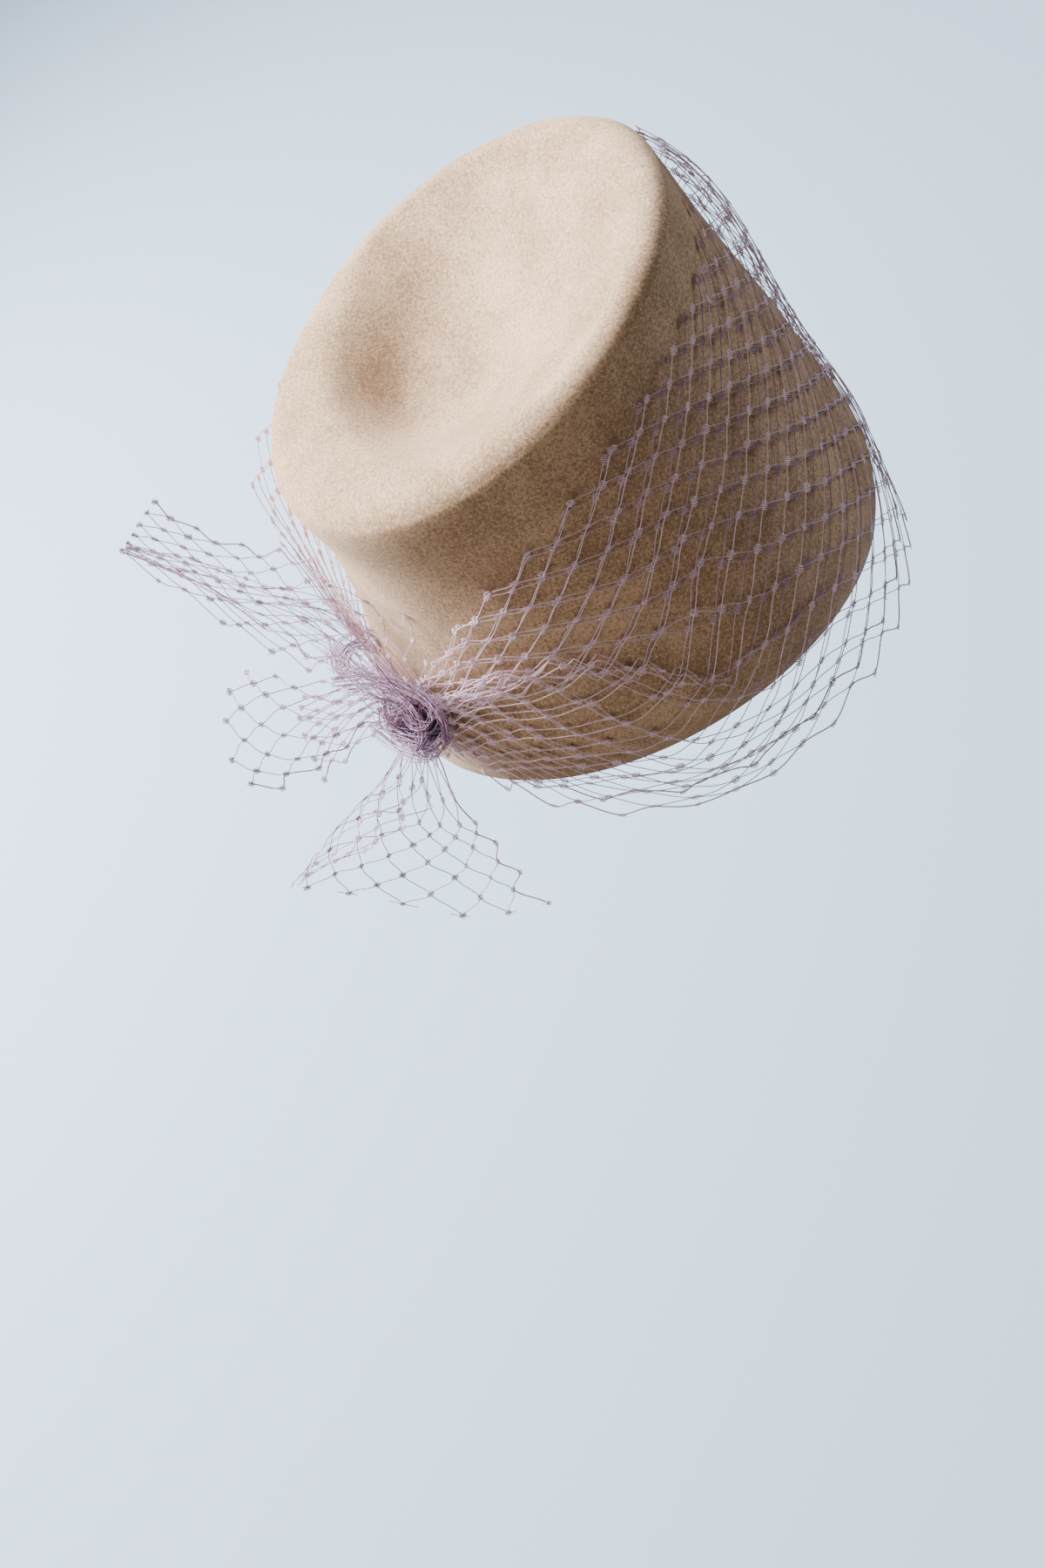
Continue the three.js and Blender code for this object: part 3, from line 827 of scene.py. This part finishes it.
def wall_point(turn, height, lift):
    """A point over the wall, in millimetres. Below the bulge it hangs straight down."""
    section = section_at_height(turn, height)
    point = crown_point(section, turn) + outward_at(section, turn) * np.asarray(lift)[..., None]
    point[..., 2] = height
    return point


print("at the front the veil reaches from", float(VEIL["lower"](0)), "to",
      float(VEIL["upper"](0)), "mm")

# %% [markdown]
# Round the front the columns of meshes stand upright. Low down beside the knot they are drawn on
# towards it, because the knot holds the last of them gathered, and the diamonds open wide. A
# lattice modifier could pull them over, but it would pull the pads out of shape as well. Two
# curves give the turn of every column, high up and low down, and the cloth blends between them.

# %% The columns of the veil
VEIL_COLUMNS = 58
VEIL_ROWS = 24
COLUMN_TURNS = smooth([0, 5, 26, 37, 45, 52, 58], [-206, -174, -24, 28, 72, 119, 154])
LOW_COLUMN_TURNS = smooth([0, 5, 26, 37, 42, 45, 48, 50, 52, 54, 56, 58],
                          [-206, -174, -24, 28, 56, 78, 102, 118, 131, 141, 149, 155])
SWEEP_START = 0.57  # shares of the rows, up from the lower edge
SWEEP_SPAN = 0.32


def column_turn(i, j):
    """The turn round the hat, in degrees, of column i at row j."""
    i = np.clip(i, 0, VEIL_COLUMNS)
    low = np.clip((SWEEP_START - j / VEIL_ROWS) / SWEEP_SPAN, 0, 1)
    low = low * low * (3 - 2 * low)
    return COLUMN_TURNS(i) * (1 - low) + LOW_COLUMN_TURNS(i) * low


print("the lower edge runs from", float(column_turn(0, 0)), "to",
      float(column_turn(VEIL_COLUMNS, 0)), "degrees")

# %% [markdown]
# Beside the knot the strip is taken up in a pleat. Down the cloth the net falls from its upper
# edge, turns up behind the pleat and falls again over it. Bending a finished net would squeeze
# its meshes there. Here the length is counted down the cloth first, and then turned to a height,
# so that every mesh keeps its size through the fold.

# %% The pleat beside the knot
PLEAT_HEIGHT = smooth([84, 90, 100, 113, 130, 143, 152], [20, 34, 51, 60, 57, 48, 40])
PLEAT_BEGINS = 78  # degrees of turn
PLEAT_GROWS_OVER = 14
PLEAT_ENDS = 158
PLEAT_FADES_OVER = 20
PLEAT_DEPTH = 12  # millimetres, as are the next four
PLEAT_CLEAR = 2
PLEAT_STAND = 2.2
PLEAT_FALL = 14
LEAST_RISE = 0.1
# The rows lie nearly even and open a little towards the lower edge.
EVEN_ROWS = 0.8
OPENING_ROWS = 0.2
# Below the pleat the rows slant: a share of the cloth's depth by which they are let down.
LET_DOWN = smooth([-210, 55, 80, 98, 116, 135, 155], [0, 0, 0.1, 0.15, 0.05, -0.06, -0.1])
LET_DOWN_FROM = 0.44


def down_the_cloth(turn, j):
    """How far down the strip row j lies, from 0 at its upper edge to 1."""
    share = 1 - j / VEIL_ROWS
    below = np.clip((share - LET_DOWN_FROM) / (1 - LET_DOWN_FROM), 0, 1)
    share = share + LET_DOWN(turn) * np.sin(np.pi * below)
    return EVEN_ROWS * share + OPENING_ROWS * share * share


def pleated(turn, j):
    """The height of row j, and how far the pleat holds it off, both in millimetres."""
    upper, lower = VEIL["upper"](turn), VEIL["lower"](turn)
    strength = np.clip((turn - PLEAT_BEGINS) / PLEAT_GROWS_OVER, 0, 1)
    strength = strength * np.clip((PLEAT_ENDS - turn) / PLEAT_FADES_OVER, 0, 1)
    pleat = np.clip(PLEAT_HEIGHT(turn), lower + PLEAT_CLEAR, upper - PLEAT_CLEAR)
    rise = PLEAT_DEPTH * strength
    first_fall = upper - pleat + rise
    cloth = down_the_cloth(turn, j) * (upper - lower + 2 * rise)
    height = np.where(cloth < first_fall, upper - cloth, pleat - rise + cloth - first_fall)
    past = cloth - first_fall - rise
    height = np.where(cloth > first_fall + rise, pleat - past, height)
    folded = np.clip((cloth - first_fall) / np.maximum(rise, LEAST_RISE), 0, 1) * strength
    return height, PLEAT_STAND * folded * np.exp(-((past / PLEAT_FALL) ** 2))


print("the pleat is highest at", float(PLEAT_HEIGHT(113)), "mm")

# %% [markdown]
# The strip is laid double. The inner layer lies nearer the felt, ends a little higher, and is
# out of step by part of a column, nearly half of one at the front. An array modifier would
# repeat one layer thread for thread. Two plans with seeds of their own stray as real layers do.

# %% A layer of the veil
FLARE_START = 0.1  # shares of the strip's depth, up from its lower edge
BELLY_START = 0.35
BELLY_RISE = 2.4
NARROW_STRIP = 10  # millimetres, where the layers don't part at all
WIDE_STRIP = 80  # and where they part in full
PARTING_BEND = 2.2
# How far the inner layer is out of step, in columns and rows, against the turn.
STEP_BACK = smooth([-210, -60, 15, 60, 95, 160], [0.3, 0.3, 0.5, 0.45, 0.28, 0.28])
STEP_DOWN = smooth([-210, -60, 15, 60, 95, 160], [0.3, 0.3, 0.12, 0.12, 0.34, 0.3])


def veil_layer(lift, ends_higher=0, out_of_step=0):
    """A rule that gives metres for columns and rows of the net."""

    def place(i, j):
        turn = column_turn(i, j)
        i = i + STEP_BACK(turn) * out_of_step
        j = j - STEP_DOWN(turn) * out_of_step
        turn = column_turn(i, j)
        upper, lower = VEIL["upper"](turn), VEIL["lower"](turn)
        height, held_off = pleated(turn, j)
        up = (height - lower) / (upper - lower)
        full = np.clip((upper - lower - NARROW_STRIP) / (WIDE_STRIP - NARROW_STRIP), 0, 1)
        height = height + ends_higher * np.clip(1 - up, 0, 1) ** PARTING_BEND * full
        stand = np.maximum(up - FLARE_START, 0) / (1 - FLARE_START)
        risen = np.clip((up - BELLY_START) / (1 - BELLY_START), 0, 1)
        belly = np.maximum(np.sin(np.pi * risen**BELLY_RISE), 0)
        out = lift + VEIL["flare"](turn) * stand * stand + VEIL["belly"](turn) * belly
        return wall_point(turn, height, out + held_off) * MM

    return place


print("out of step at the front by", round(float(STEP_BACK(0)), 2), "of a column")

# %% [markdown]
# Net in two layers looks uneven in colour: the layer beneath is in shade, and the one on top
# catches the light where it turns. Lamps alone show too little of that in threads this fine, so
# that light and shade is painted: each strand and pad carries a tone, which the thread's material
# reads. Being painted on the thread, it stays in place from every side.

# %% The two layers of the veil
OUTER_LIFT = 2.8  # millimetres from the felt
INNER_LIFT = 1.4
INNER_ENDS_HIGHER = 9
PALE_FROM_COLUMN = 42
PALE_OVER_COLUMNS = 6
PALE_BELOW = 0.6  # shares of the rows
PALE_FADES_OVER = 0.1
# The meshes lie even round the crown and crumple where the knot gathers both ends.
VEIL_UNREST = smooth([0, 5, 51, 55, 60], [0.2, 0.05, 0.05, 0.2, 0.3])(np.arange(VEIL_COLUMNS + 3))
# Painted light on the outer layer: its threads and pads are painted paler towards the knot.
OUTER_PAINTED_LIGHT = smooth([0, 34, 44, 50, 58], [0.9, 0.9, 0.95, 1.25, 1.2])
# Painted shade on the inner layer: it is painted darker at the front, where its pads lie between
# the other's, and paler towards the knot.
INNER_PAINTED_LIGHT = smooth([0, 31, 37, 42, 49, 58], [0.9, 0.6, 0.15, 0.2, 1.0, 1.1])


def veil_level_painted_light(i, j):
    """Painted light: the threads along the strip are painted paler towards the knot, and palest
    below the pleat.
    """
    towards_knot = np.clip((i - PALE_FROM_COLUMN) / PALE_OVER_COLUMNS, 0, 1)
    below_pleat = np.clip((PALE_BELOW - j / VEIL_ROWS) / PALE_FADES_OVER, 0, 1)
    return LEVEL_PAINTED_SHADE + (STEEP_PAINTED_HIGHLIGHT - LEVEL_PAINTED_SHADE) * towards_knot * (0.5 + 0.5 * below_pleat)


def veil_net(name, place, seed, paleness, **words):
    plan = netting_plan(
        f"{name}_plan", place, VEIL_COLUMNS, VEIL_ROWS, seed=seed, unrest=VEIL_UNREST,
        selvage_row=0, paleness=paleness, level_tone=veil_level_painted_light,
    )
    return weave(name, [plan], veiling_thread, **words)


veil_outer = veil_net("veil_outer", veil_layer(OUTER_LIFT), 11, OUTER_PAINTED_LIGHT,
                      replaces=("veil",), Seed=3)
veil_inner = veil_net("veil_inner", veil_layer(INNER_LIFT, INNER_ENDS_HIGHER, 1), 12,
                      INNER_PAINTED_LIGHT, Seed=4)

# %% [markdown]
# The cut ends of the strip fan out from the knot as three stiff tails. Each follows a few ribs
# that run out from the knot, in millimetres, from near it to the tip. The strip is folded over
# itself there, so the upper and the middle tail have a front and a back layer, and the upper
# one's front layer curls back over the felt. Sculpting such fans by hand is hard to repeat, and
# a few ribs can be moved one by one.

# %% Ribs of the tails
KNOT_TURN = np.float64(152)
KNOT_HEIGHT = 37
KNOT_SIZE = np.array([10, 15, 14])  # half depth, half width and half height
KNOT_SUNK = 2

knot_axis = outward_at(np.float64(BULGE_SECTION), KNOT_TURN)
knot_middle = wall_point(KNOT_TURN, KNOT_HEIGHT, KNOT_SIZE[0] - KNOT_SUNK)
knot_across = unit(np.cross([0, 0, 1.0], knot_axis))

TAIL_RIBS = {
    "tail_upper_front": [
        [(-53, 72, 61), (-49, 67, 74), (-27, 78, 84), (-2, 106, 89), (16, 121, 97),
         (32, 139, 104)],
        [(-43, 79, 59), (-32, 79, 67), (-23, 84, 75), (-2, 108, 85), (16, 124, 94),
         (34, 141, 104)],
        [(-36, 85, 58), (-25, 88, 64), (-16, 94, 70), (5, 117, 82), (19, 129, 91),
         (36, 143, 103)],
        [(-25, 92, 52), (-18, 101, 52), (-8, 109, 61), (6, 117, 71), (22, 126, 84),
         (39, 145, 101)],
    ],
    "tail_upper_back": [
        [(-16, 97, 47), (-6, 109, 48), (7, 119, 56), (22, 131, 72), (42, 147, 99)],
        [(0, 97, 46), (12, 109, 56), (24, 122, 69), (35, 130, 83), (46, 142, 99)],
        [(9, 94, 52), (22, 104, 61), (32, 114, 70), (41, 125, 85), (51, 136, 100)],
        [(15, 88, 60), (31, 94, 68), (39, 105, 73), (46, 118, 84), (56, 128, 101)],
    ],
    "tail_middle_front": [
        [(-24, 88, 47), (-18, 104, 50), (-10, 118, 56), (-3, 128, 61)],
        [(-28, 92, 46), (-23, 109, 49), (-16, 125, 56), (-8, 137, 61)],
        [(-31, 95, 45), (-29, 113, 47), (-24, 131, 51), (-18, 144, 56)],
        [(-33, 97, 43), (-34, 115, 43), (-31, 133, 42), (-26, 148, 45)],
        [(-35, 100, 39), (-36, 114, 36), (-35, 128, 34), (-32, 144, 33)],
    ],
    "tail_middle_back": [
        [(-21, 91, 41), (-13, 103, 41), (-7, 117, 42)],
        [(-28, 97, 38), (-20, 110, 36), (-14, 123, 37)],
        [(-33, 99, 33), (-31, 113, 28), (-30, 125, 24)],
    ],
    "tail_lower": [
        [(-66, 93, 23), (-71, 104, 24), (-70, 118, 22), (-59, 139, 19)],
        [(-55, 105, 27), (-60, 115, 26), (-62, 129, 21), (-58, 148, 14)],
        [(-44, 107, 22), (-46, 118, 20), (-48, 134, 15), (-52, 151, 8)],
        [(-46, 105, 8), (-48, 113, 2), (-51, 124, -4), (-55, 133, -11)],
        [(-51, 96, 1), (-54, 99, -9), (-59, 102, -20), (-67, 106, -33)],
        [(-58, 87, 2), (-63, 85, -9), (-70, 83, -20), (-79, 80, -34)],
    ],
}
print("middle of the knot", knot_middle.round(1), "mm;", sum(map(len, TAIL_RIBS.values())), "ribs")

# %% [markdown]
# Between the ribs the cloth has to bend smoothly both ways. A loft of straight strips would show
# a crease at each rib. So every rib is a smooth curve from the knot outwards, and across the
# ribs each row of points is joined by the same kind of curve.

# %% Cloth between the ribs
RIB_ROOT = 8  # millimetres from the middle of the knot


def path_curves(path):
    """A smooth curve through the points of a path, for each axis."""
    return [smooth(range(len(path)), places) for places in np.array(path, float).T]


def tail_surface(ribs):
    """A surface of two numbers from 0 to 1: out along the ribs, and over from rib to rib."""
    stations = len(ribs[0])
    last = len(ribs) - 1
    curves = []
    for rib in ribs:
        root = knot_middle + unit(np.array(rib[0], float) - knot_middle) * RIB_ROOT
        curves.append(path_curves([root, *rib]))

    def place(out, over):
        out, over = np.broadcast_arrays(np.clip(out, 0, 1), np.clip(over, 0, 1))
        values = np.array([[curve(out * stations) for curve in rib] for rib in curves])
        spot = over * last
        i = np.clip(np.floor(spot).astype(int), 0, last - 1)
        t = spot - i

        def pick(index):
            return np.take_along_axis(values, index[None, None], axis=0)[0]

        a, b = pick(i), pick(i + 1)
        slope_a = (b - pick(np.maximum(i - 1, 0))) / np.where(i > 0, 2, 1)
        slope_b = (pick(np.minimum(i + 2, last)) - a) / np.where(i + 2 <= last, 2, 1)
        blend = a + (b - a) * t * t * (3 - 2 * t)
        blend = blend + slope_a * t * (1 - t) ** 2 + slope_b * t * t * (t - 1)
        return np.moveaxis(blend, 0, -1)

    return place


tip = tail_surface(TAIL_RIBS["tail_lower"])(1.0, 0.0)
print("first tip of the lower tail", tip.round(1), "mm")

# %% [markdown]
# Each layer of a tail is its own small net on such a surface. The meshes end in short stubs
# where the scissors passed, and the selvage, the strip's finished edge, is a thicker thread.
# One net over all the layers would need meshes that turn round a sharp fold, so they are joined
# only when they are woven.

# %% The three tails
LONG_AT_ROOT = 0.85  # below 1 the meshes are longer near the knot
# For each layer its columns and rows, and whether its cut end has stubs.
TAIL_LAYERS = {
    "tail_upper": {"tail_upper_front": (12, 9, True), "tail_upper_back": (11, 11, True)},
    "tail_middle": {"tail_middle_front": (8, 9, False), "tail_middle_back": (6, 10, True)},
    "tail_lower": {"tail_lower": (8, 18, True)},
}


def tail_layer(name, columns, rows):
    surface = tail_surface(TAIL_RIBS[name])
    return lambda i, j: surface((i / columns) ** LONG_AT_ROOT, j / rows) * MM


tails = []
for tail, layers in TAIL_LAYERS.items():
    fans = []
    for name, (columns, rows, has_stubs) in layers.items():
        fans.append(netting_plan(
            f"{name}_plan", tail_layer(name, columns, rows), columns, rows,
            seed=20 + len(fans) + 3 * len(tails), bend=0.5, unrest=0.08,
            stubs=has_stubs, selvage_row=rows,
        ))
    tails.append(weave(f"{tail}_net", fans, thread_in_painted_shade, replaces=(tail,), Thread=0.00034,
                       Pad_Length=0.0025, Pad_Pitch=0.0005, Pad_Bar=0.00046, Wobble=0.0008,
                       Seed=5 + len(tails)))

# %% [markdown]
# The knot is the same net, gathered by a thread until it crumples. Cloth simulation of a net
# with this many folds would take hours, so the crumple is drawn as what the eye sees: bundles of
# nearly parallel threads where the net is folded over the knot, with dark gaps between them,
# loose threads that swirl and dive into its middle, small loops that stand up, two ruffles that
# still show their meshes, and a curl of the strip's edge beside it.

# %% Kinds of thread in the knot
POINTS_A_THREAD = 15
STRAY_WAVES = 2
BUNDLE_STRAY = 0.7  # millimetres, as are the next two
SWIRL_STRAY = 0.9
LOOP_STRAY = 0.5
KNOT_DOME = np.array([10, 12.5, 13.5])  # depth, width and height of the dome of threads
# A swirl starts at its edge and turns inwards. Reaches are shares of the dome's size.
SWIRL_TWIST = (0.5, 2.4)  # radians
SWIRL_EDGE = (0.85, 1.15)
SWIRL_MIDDLE = (0.05, 0.3)
SWIRL_SHELL = (0.7, 1.05)
SWIRL_DIVE = 0.5
# A standing loop: how far round it goes in radians, its radius and how deep it stands.
LOOP_SWEEP = (3.0, 5.6)
LOOP_RADIUS = (1.5, 4.5)
LOOP_SHELL = (0.55, 0.95)
chance = np.random.default_rng(70)


def in_knot(local):
    """Millimetres for places given as depth, width and height in the knot."""
    return (knot_middle + local[..., :1] * knot_axis + local[..., 1:2] * knot_across
            + local[..., 2:] * np.array([0, 0, 1.0]))


def stray(count, size):
    """A smooth random wander for each thread, zero at its two ends."""
    t = np.linspace(0, 1, POINTS_A_THREAD)[None, :, None]
    wander = 0
    for wave in range(1, STRAY_WAVES + 1):
        wander = wander + chance.normal(0, size / wave, (count, 1, 3)) * np.sin(np.pi * wave * t)
    return wander


def swirls(count):
    """Threads that turn inwards over the dome and dive at its middle."""
    t = np.linspace(0, 1, POINTS_A_THREAD)[None, :]
    start = chance.uniform(0, 2 * np.pi, (count, 1))
    twist = chance.uniform(*SWIRL_TWIST, (count, 1)) * chance.choice([-1, 1], (count, 1))
    outermost = chance.uniform(*SWIRL_EDGE, (count, 1))
    innermost = chance.uniform(*SWIRL_MIDDLE, (count, 1))
    reach = outermost + (innermost - outermost) * t**0.8
    angle = start + twist * t
    shell = chance.uniform(*SWIRL_SHELL, (count, 1))
    dome = np.sqrt(np.clip(1 - np.minimum(reach, 1) ** 2, 0, 1))
    lift = dome * shell - SWIRL_DIVE * t**4
    local = np.stack([lift, reach * np.cos(angle), reach * np.sin(angle)], axis=-1) * KNOT_DOME
    return in_knot(local + stray(count, SWIRL_STRAY))


def bundle(path, count, spread):
    """Nearly parallel threads along a path of points in millimetres."""
    along = np.linspace(0, len(path) - 1, POINTS_A_THREAD)
    line = [curve(along) for curve in path_curves(path)]
    offset = chance.normal(0, spread, (count, 1, 3))
    return np.stack(line, axis=-1)[None] + offset + stray(count, BUNDLE_STRAY)


def loops(count, middle, axes, turn_range, radius_range, facing):
    """Arcs of a circle. middle is a point for each, and axes two directions for each."""
    swept = chance.uniform(*turn_range, (count, 1)) * np.linspace(-0.5, 0.5, POINTS_A_THREAD)
    angle = chance.uniform(*facing, (count, 1)) + swept
    radius = chance.uniform(*radius_range, (count, 1))
    around = (np.cos(angle) * radius)[..., None] * axes[0][:, None]
    around = around + (np.sin(angle) * radius)[..., None] * axes[1][:, None]
    return middle[:, None] + around + stray(count, LOOP_STRAY)


def standing_loops(count):
    """Small arcs that stand up from the dome, each facing its own way."""
    heading = chance.normal(0, 1, (count, 3))
    heading[:, 0] = np.abs(heading[:, 0])
    heading = unit(heading)
    middle = in_knot(heading * KNOT_DOME * chance.uniform(*LOOP_SHELL, (count, 1)))
    first = unit(chance.normal(0, 1, (count, 3)))
    second = unit(np.cross(first, chance.normal(0, 1, (count, 3))))
    return loops(count, middle, (first, second), LOOP_SWEEP, LOOP_RADIUS, (0, 2 * np.pi))


print("each thread of the knot is a chain of", POINTS_A_THREAD, "points")

# %% [markdown]
# Beside the knot the edge of the strip curls up on the felt in a few open rings. A spiral would
# look wound by machine. Arcs of many sizes about one leaning axis make a curl that is loose.

# %% The curl beside the knot
CURL_MIDDLE = np.array([-14.0, 92.5, 50.0])
CURL_AXIS = unit(np.array([-0.78, -0.10, 0.60]))
CURL_WIDTH = 1.25
CURL_HEIGHT = 0.9
CURL_SWEEP = (2.8, 5.0)  # radians
CURL_RADIUS = (2.0, 8.0)  # millimetres
CURL_FACING = (1.1, 2.1)
curl_side = unit(np.cross([0, 0, 1.0], CURL_AXIS))
curl_rise = np.cross(CURL_AXIS, curl_side)


def curl(count):
    """Arcs about the curl's axis, each at its own place along it."""
    middle = CURL_MIDDLE + CURL_AXIS * chance.uniform(-6, 2, (count, 1))
    middle = middle + chance.normal(0, 0.8, (count, 3))
    axes = [np.repeat(direction[None], count, axis=0) for direction in
            (CURL_WIDTH * curl_side, CURL_HEIGHT * curl_rise)]
    return loops(count, middle, axes, CURL_SWEEP, CURL_RADIUS, CURL_FACING)


print("the curl faces", CURL_AXIS.round(2))

# %% [markdown]
# The folds of net that cross the knot give it its form, so their paths are set one by one. All
# else in the crumple is drawn at random from one seed. The strands need no pads, because in
# folds this tight they don't show.

# %% Folds and threads of the knot
# The path of each fold, its number of threads and how far they spread.
FOLDS = [
    ([(-21, 103, 52), (-30, 90, 52), (-42, 81, 52), (-53, 76, 51), (-62, 75, 47), (-64, 78, 40)],
     15, 1.1),
    ([(-24, 101, 49), (-35, 91, 51), (-47, 84, 52), (-56, 82, 50), (-61, 84, 45), (-61, 89, 41)],
     10, 1.1),
    ([(-43, 99, 43), (-53, 95, 40), (-62, 90, 40), (-65, 83, 39), (-63, 77, 41)], 13, 1.1),
    ([(-38, 85, 49), (-39, 92, 48), (-44, 95, 43), (-52, 92, 42), (-59, 87, 42)], 10, 1.1),
    ([(-49, 82, 52), (-51, 86, 51), (-56, 86, 48), (-61, 82, 48), (-60, 78, 49), (-55, 77, 51)],
     8, 0.9),
    ([(-4, 98, 52), (-14, 97, 49), (-24, 93, 48), (-37, 86, 50)], 14, 1.8),
]
# Loose threads that run from the knot in among the roots of the tails.
TAIL_ROOTS = [
    ([(-50, 84, 49), (-47, 86, 58), (-38, 88, 66), (-24, 94, 72), (-8, 104, 78)], 9, 4.0),
    ([(-52, 84, 46), (-46, 92, 54), (-34, 96, 60), (-20, 101, 62)], 9, 4.5),
]
NO_PADS = {"place": np.zeros((0, 3)), "square": np.zeros((0, 3)), "along": np.zeros((0, 3)),
           "weight": np.zeros(0), "tone": np.zeros(0)}

threads = [bundle(*fold) for fold in FOLDS]
threads = np.concatenate([*threads, swirls(55), standing_loops(60), curl(22),
                          *(bundle(*fold) for fold in TAIL_ROOTS)])
crumple = plan_object("knot_crumple", threads * MM, chance.uniform(0.8, 1.15, len(threads)),
                      chance.uniform(-0.6, 0.75, len(threads)), NO_PADS)
print("crumple", len(threads), "threads")

# %% [markdown]
# Where the net is less tight it stands round the knot as two ruffles, which still show their
# meshes. A ring of cloth whose edge waves in and out, and up and down, is a rule of two numbers,
# so the same plan of netting covers it.

# %% Ruffles of the knot
RUFFLE_ROUND = 14  # the reaches below are for a knot of this half size, in millimetres
RUFFLE_COLUMNS = (30, 22)
RUFFLE_ROWS = 3
RUFFLES = [
    {"inner_reach": 6, "outer_reach": 16, "base": -4, "rim": 2, "folds": 7, "depth": 2.0,
     "phase": 0.3},
    {"inner_reach": 3, "outer_reach": 11.5, "base": 2, "rim": 7.5, "folds": 6, "depth": 2.2,
     "phase": 1.7},
]


def ruffle(inner_reach, outer_reach, base, rim, folds, depth, phase):
    """A waving ring of cloth round the knot's axis, as a surface of two numbers from 0 to 1."""

    def surface(round_it, out):
        angle = 2 * np.pi * round_it
        wave = np.sin(folds * angle + phase) + 0.5 * np.sin((folds + 3) * angle + 2 * phase)
        reach = inner_reach + (outer_reach - inner_reach) * out + depth * out * wave
        lift = base + (rim - base) * out**1.4
        lift = lift + 0.8 * depth * out * np.cos((folds - 2) * angle + 3 * phase)
        side = reach * np.cos(angle) * KNOT_SIZE[1] / RUFFLE_ROUND
        rise = reach * np.sin(angle) * KNOT_SIZE[2] / RUFFLE_ROUND
        return in_knot(np.stack([lift, side, rise], axis=-1))

    return surface


knot_plans = [crumple]
for number, (shape, columns) in enumerate(zip(RUFFLES, RUFFLE_COLUMNS)):
    surface = ruffle(**shape)
    knot_plans.append(netting_plan(
        f"ruffle_{number}",
        lambda i, j, s=surface, c=columns: s(i / c, j / RUFFLE_ROWS) * MM,
        columns, RUFFLE_ROWS, seed=60 + number, unrest=0.14,
    ))
knot_threads = weave("knot_threads", knot_plans, thread_in_painted_shade, replaces=("knot",),
                     slot="gathered_net", Thread=0.00028, Pad_Length=0.002, Pad_Bars=4,
                     Pad_Bar=0.0004, Pad_Pitch=0.00046, Wobble=0.0008, Seed=9)

# %% [markdown]
# Deep inside the knot the net is packed so tight that no single thread shows, only a dark,
# crinkled mass. Filling it with strands would take a million triangles that nobody sees. A closed
# lump with creases in its shape and twisted dye and bump in its material does it; its near black
# colour is painted shade.

# %% The wad inside the knot
WAD_COUNT = 72
WAD_RINGS = 36
WAD_SIZE = np.array([6.4, 8.4, 7.8])
WAD_CREASES = 9
CREASE_DEPTH = 0.10  # shares of the wad's size
LUMP_DEPTH = 0.12
LUMP_SCALE = 4.5

round_it, down = np.meshgrid(
    np.arange(WAD_COUNT) * 2 * np.pi / WAD_COUNT,
    np.pi * (np.arange(1, WAD_RINGS) / WAD_RINGS), indexing="ij",
)
direction = np.stack([np.cos(down), np.sin(down) * np.cos(round_it),
                      np.sin(down) * np.sin(round_it)], axis=-1)
crumpled = 1 + CREASE_DEPTH * np.sin(WAD_CREASES * round_it + 5 * down) * np.sin(down)
lumps = slow_noise(direction.reshape(-1, 3), LUMP_SCALE, 3).reshape(down.shape)
crumpled = crumpled + LUMP_DEPTH * lumps
wad_points = in_knot(direction * crumpled[..., None] * WAD_SIZE).reshape(-1, 3)
poles = in_knot(np.array([[WAD_SIZE[0], 0, 0], [-WAD_SIZE[0], 0, 0]]))
points = np.concatenate([wad_points, poles])
faces = []
rings = WAD_RINGS - 1
for k in range(WAD_COUNT):
    near, far = k * rings, (k + 1) % WAD_COUNT * rings
    for ring in range(rings - 1):
        faces.append((near + ring, near + ring + 1, far + ring + 1, far + ring))
    faces.append((len(points) - 2, near, far))
    faces.append((near + rings - 1, len(points) - 1, far + rings - 1))
knot_wad = mesh_object("knot_wad", points * MM, faces)
# Painted shade: the wad's colour is the thread's mauve made near black, for the shade deep among
# the packed threads.
knot_wad.data.materials.append(thread_material(
    "gathered veiling in painted shade", (0.02, 0.006, 0.025), (0.22, 0.13, 0.22), dye_scale=620,
    dye_distortion=2.5, bump_distance=0.0006,
))
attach(knot_wad, "root")
print("knot wad", len(faces), "faces")

# %% [markdown]
# Each veil layer and each tail is a sheet of net, held by the knot. Netting is measured with its
# meshes drawn nearly shut, so every row of the plan adds one narrow half mesh to the width, and
# every column one long half mesh to the length. Threads cover three tenths of that, and the rest
# is the holes between them.

# %% The flat sizes of the net
HALF_MESH_WIDTH = 0.0024
HALF_MESH_LENGTH = 0.0124


def declare_net(piece, layers):
    """layers holds the columns and rows of each stretch of the strip, end to end."""
    width = HALF_MESH_WIDTH * max(rows for columns, rows in layers)
    length = HALF_MESH_LENGTH * sum(columns for columns, rows in layers)
    print(piece.name, "flat", round(width * 1000), "by", round(length * 1000), "mm")


declare_net(veil_outer, [(VEIL_COLUMNS, VEIL_ROWS)])
declare_net(veil_inner, [(VEIL_COLUMNS, VEIL_ROWS)])
for tail, layers in zip(tails, TAIL_LAYERS.values()):
    declare_net(tail, [layer[:2] for layer in layers.values()])
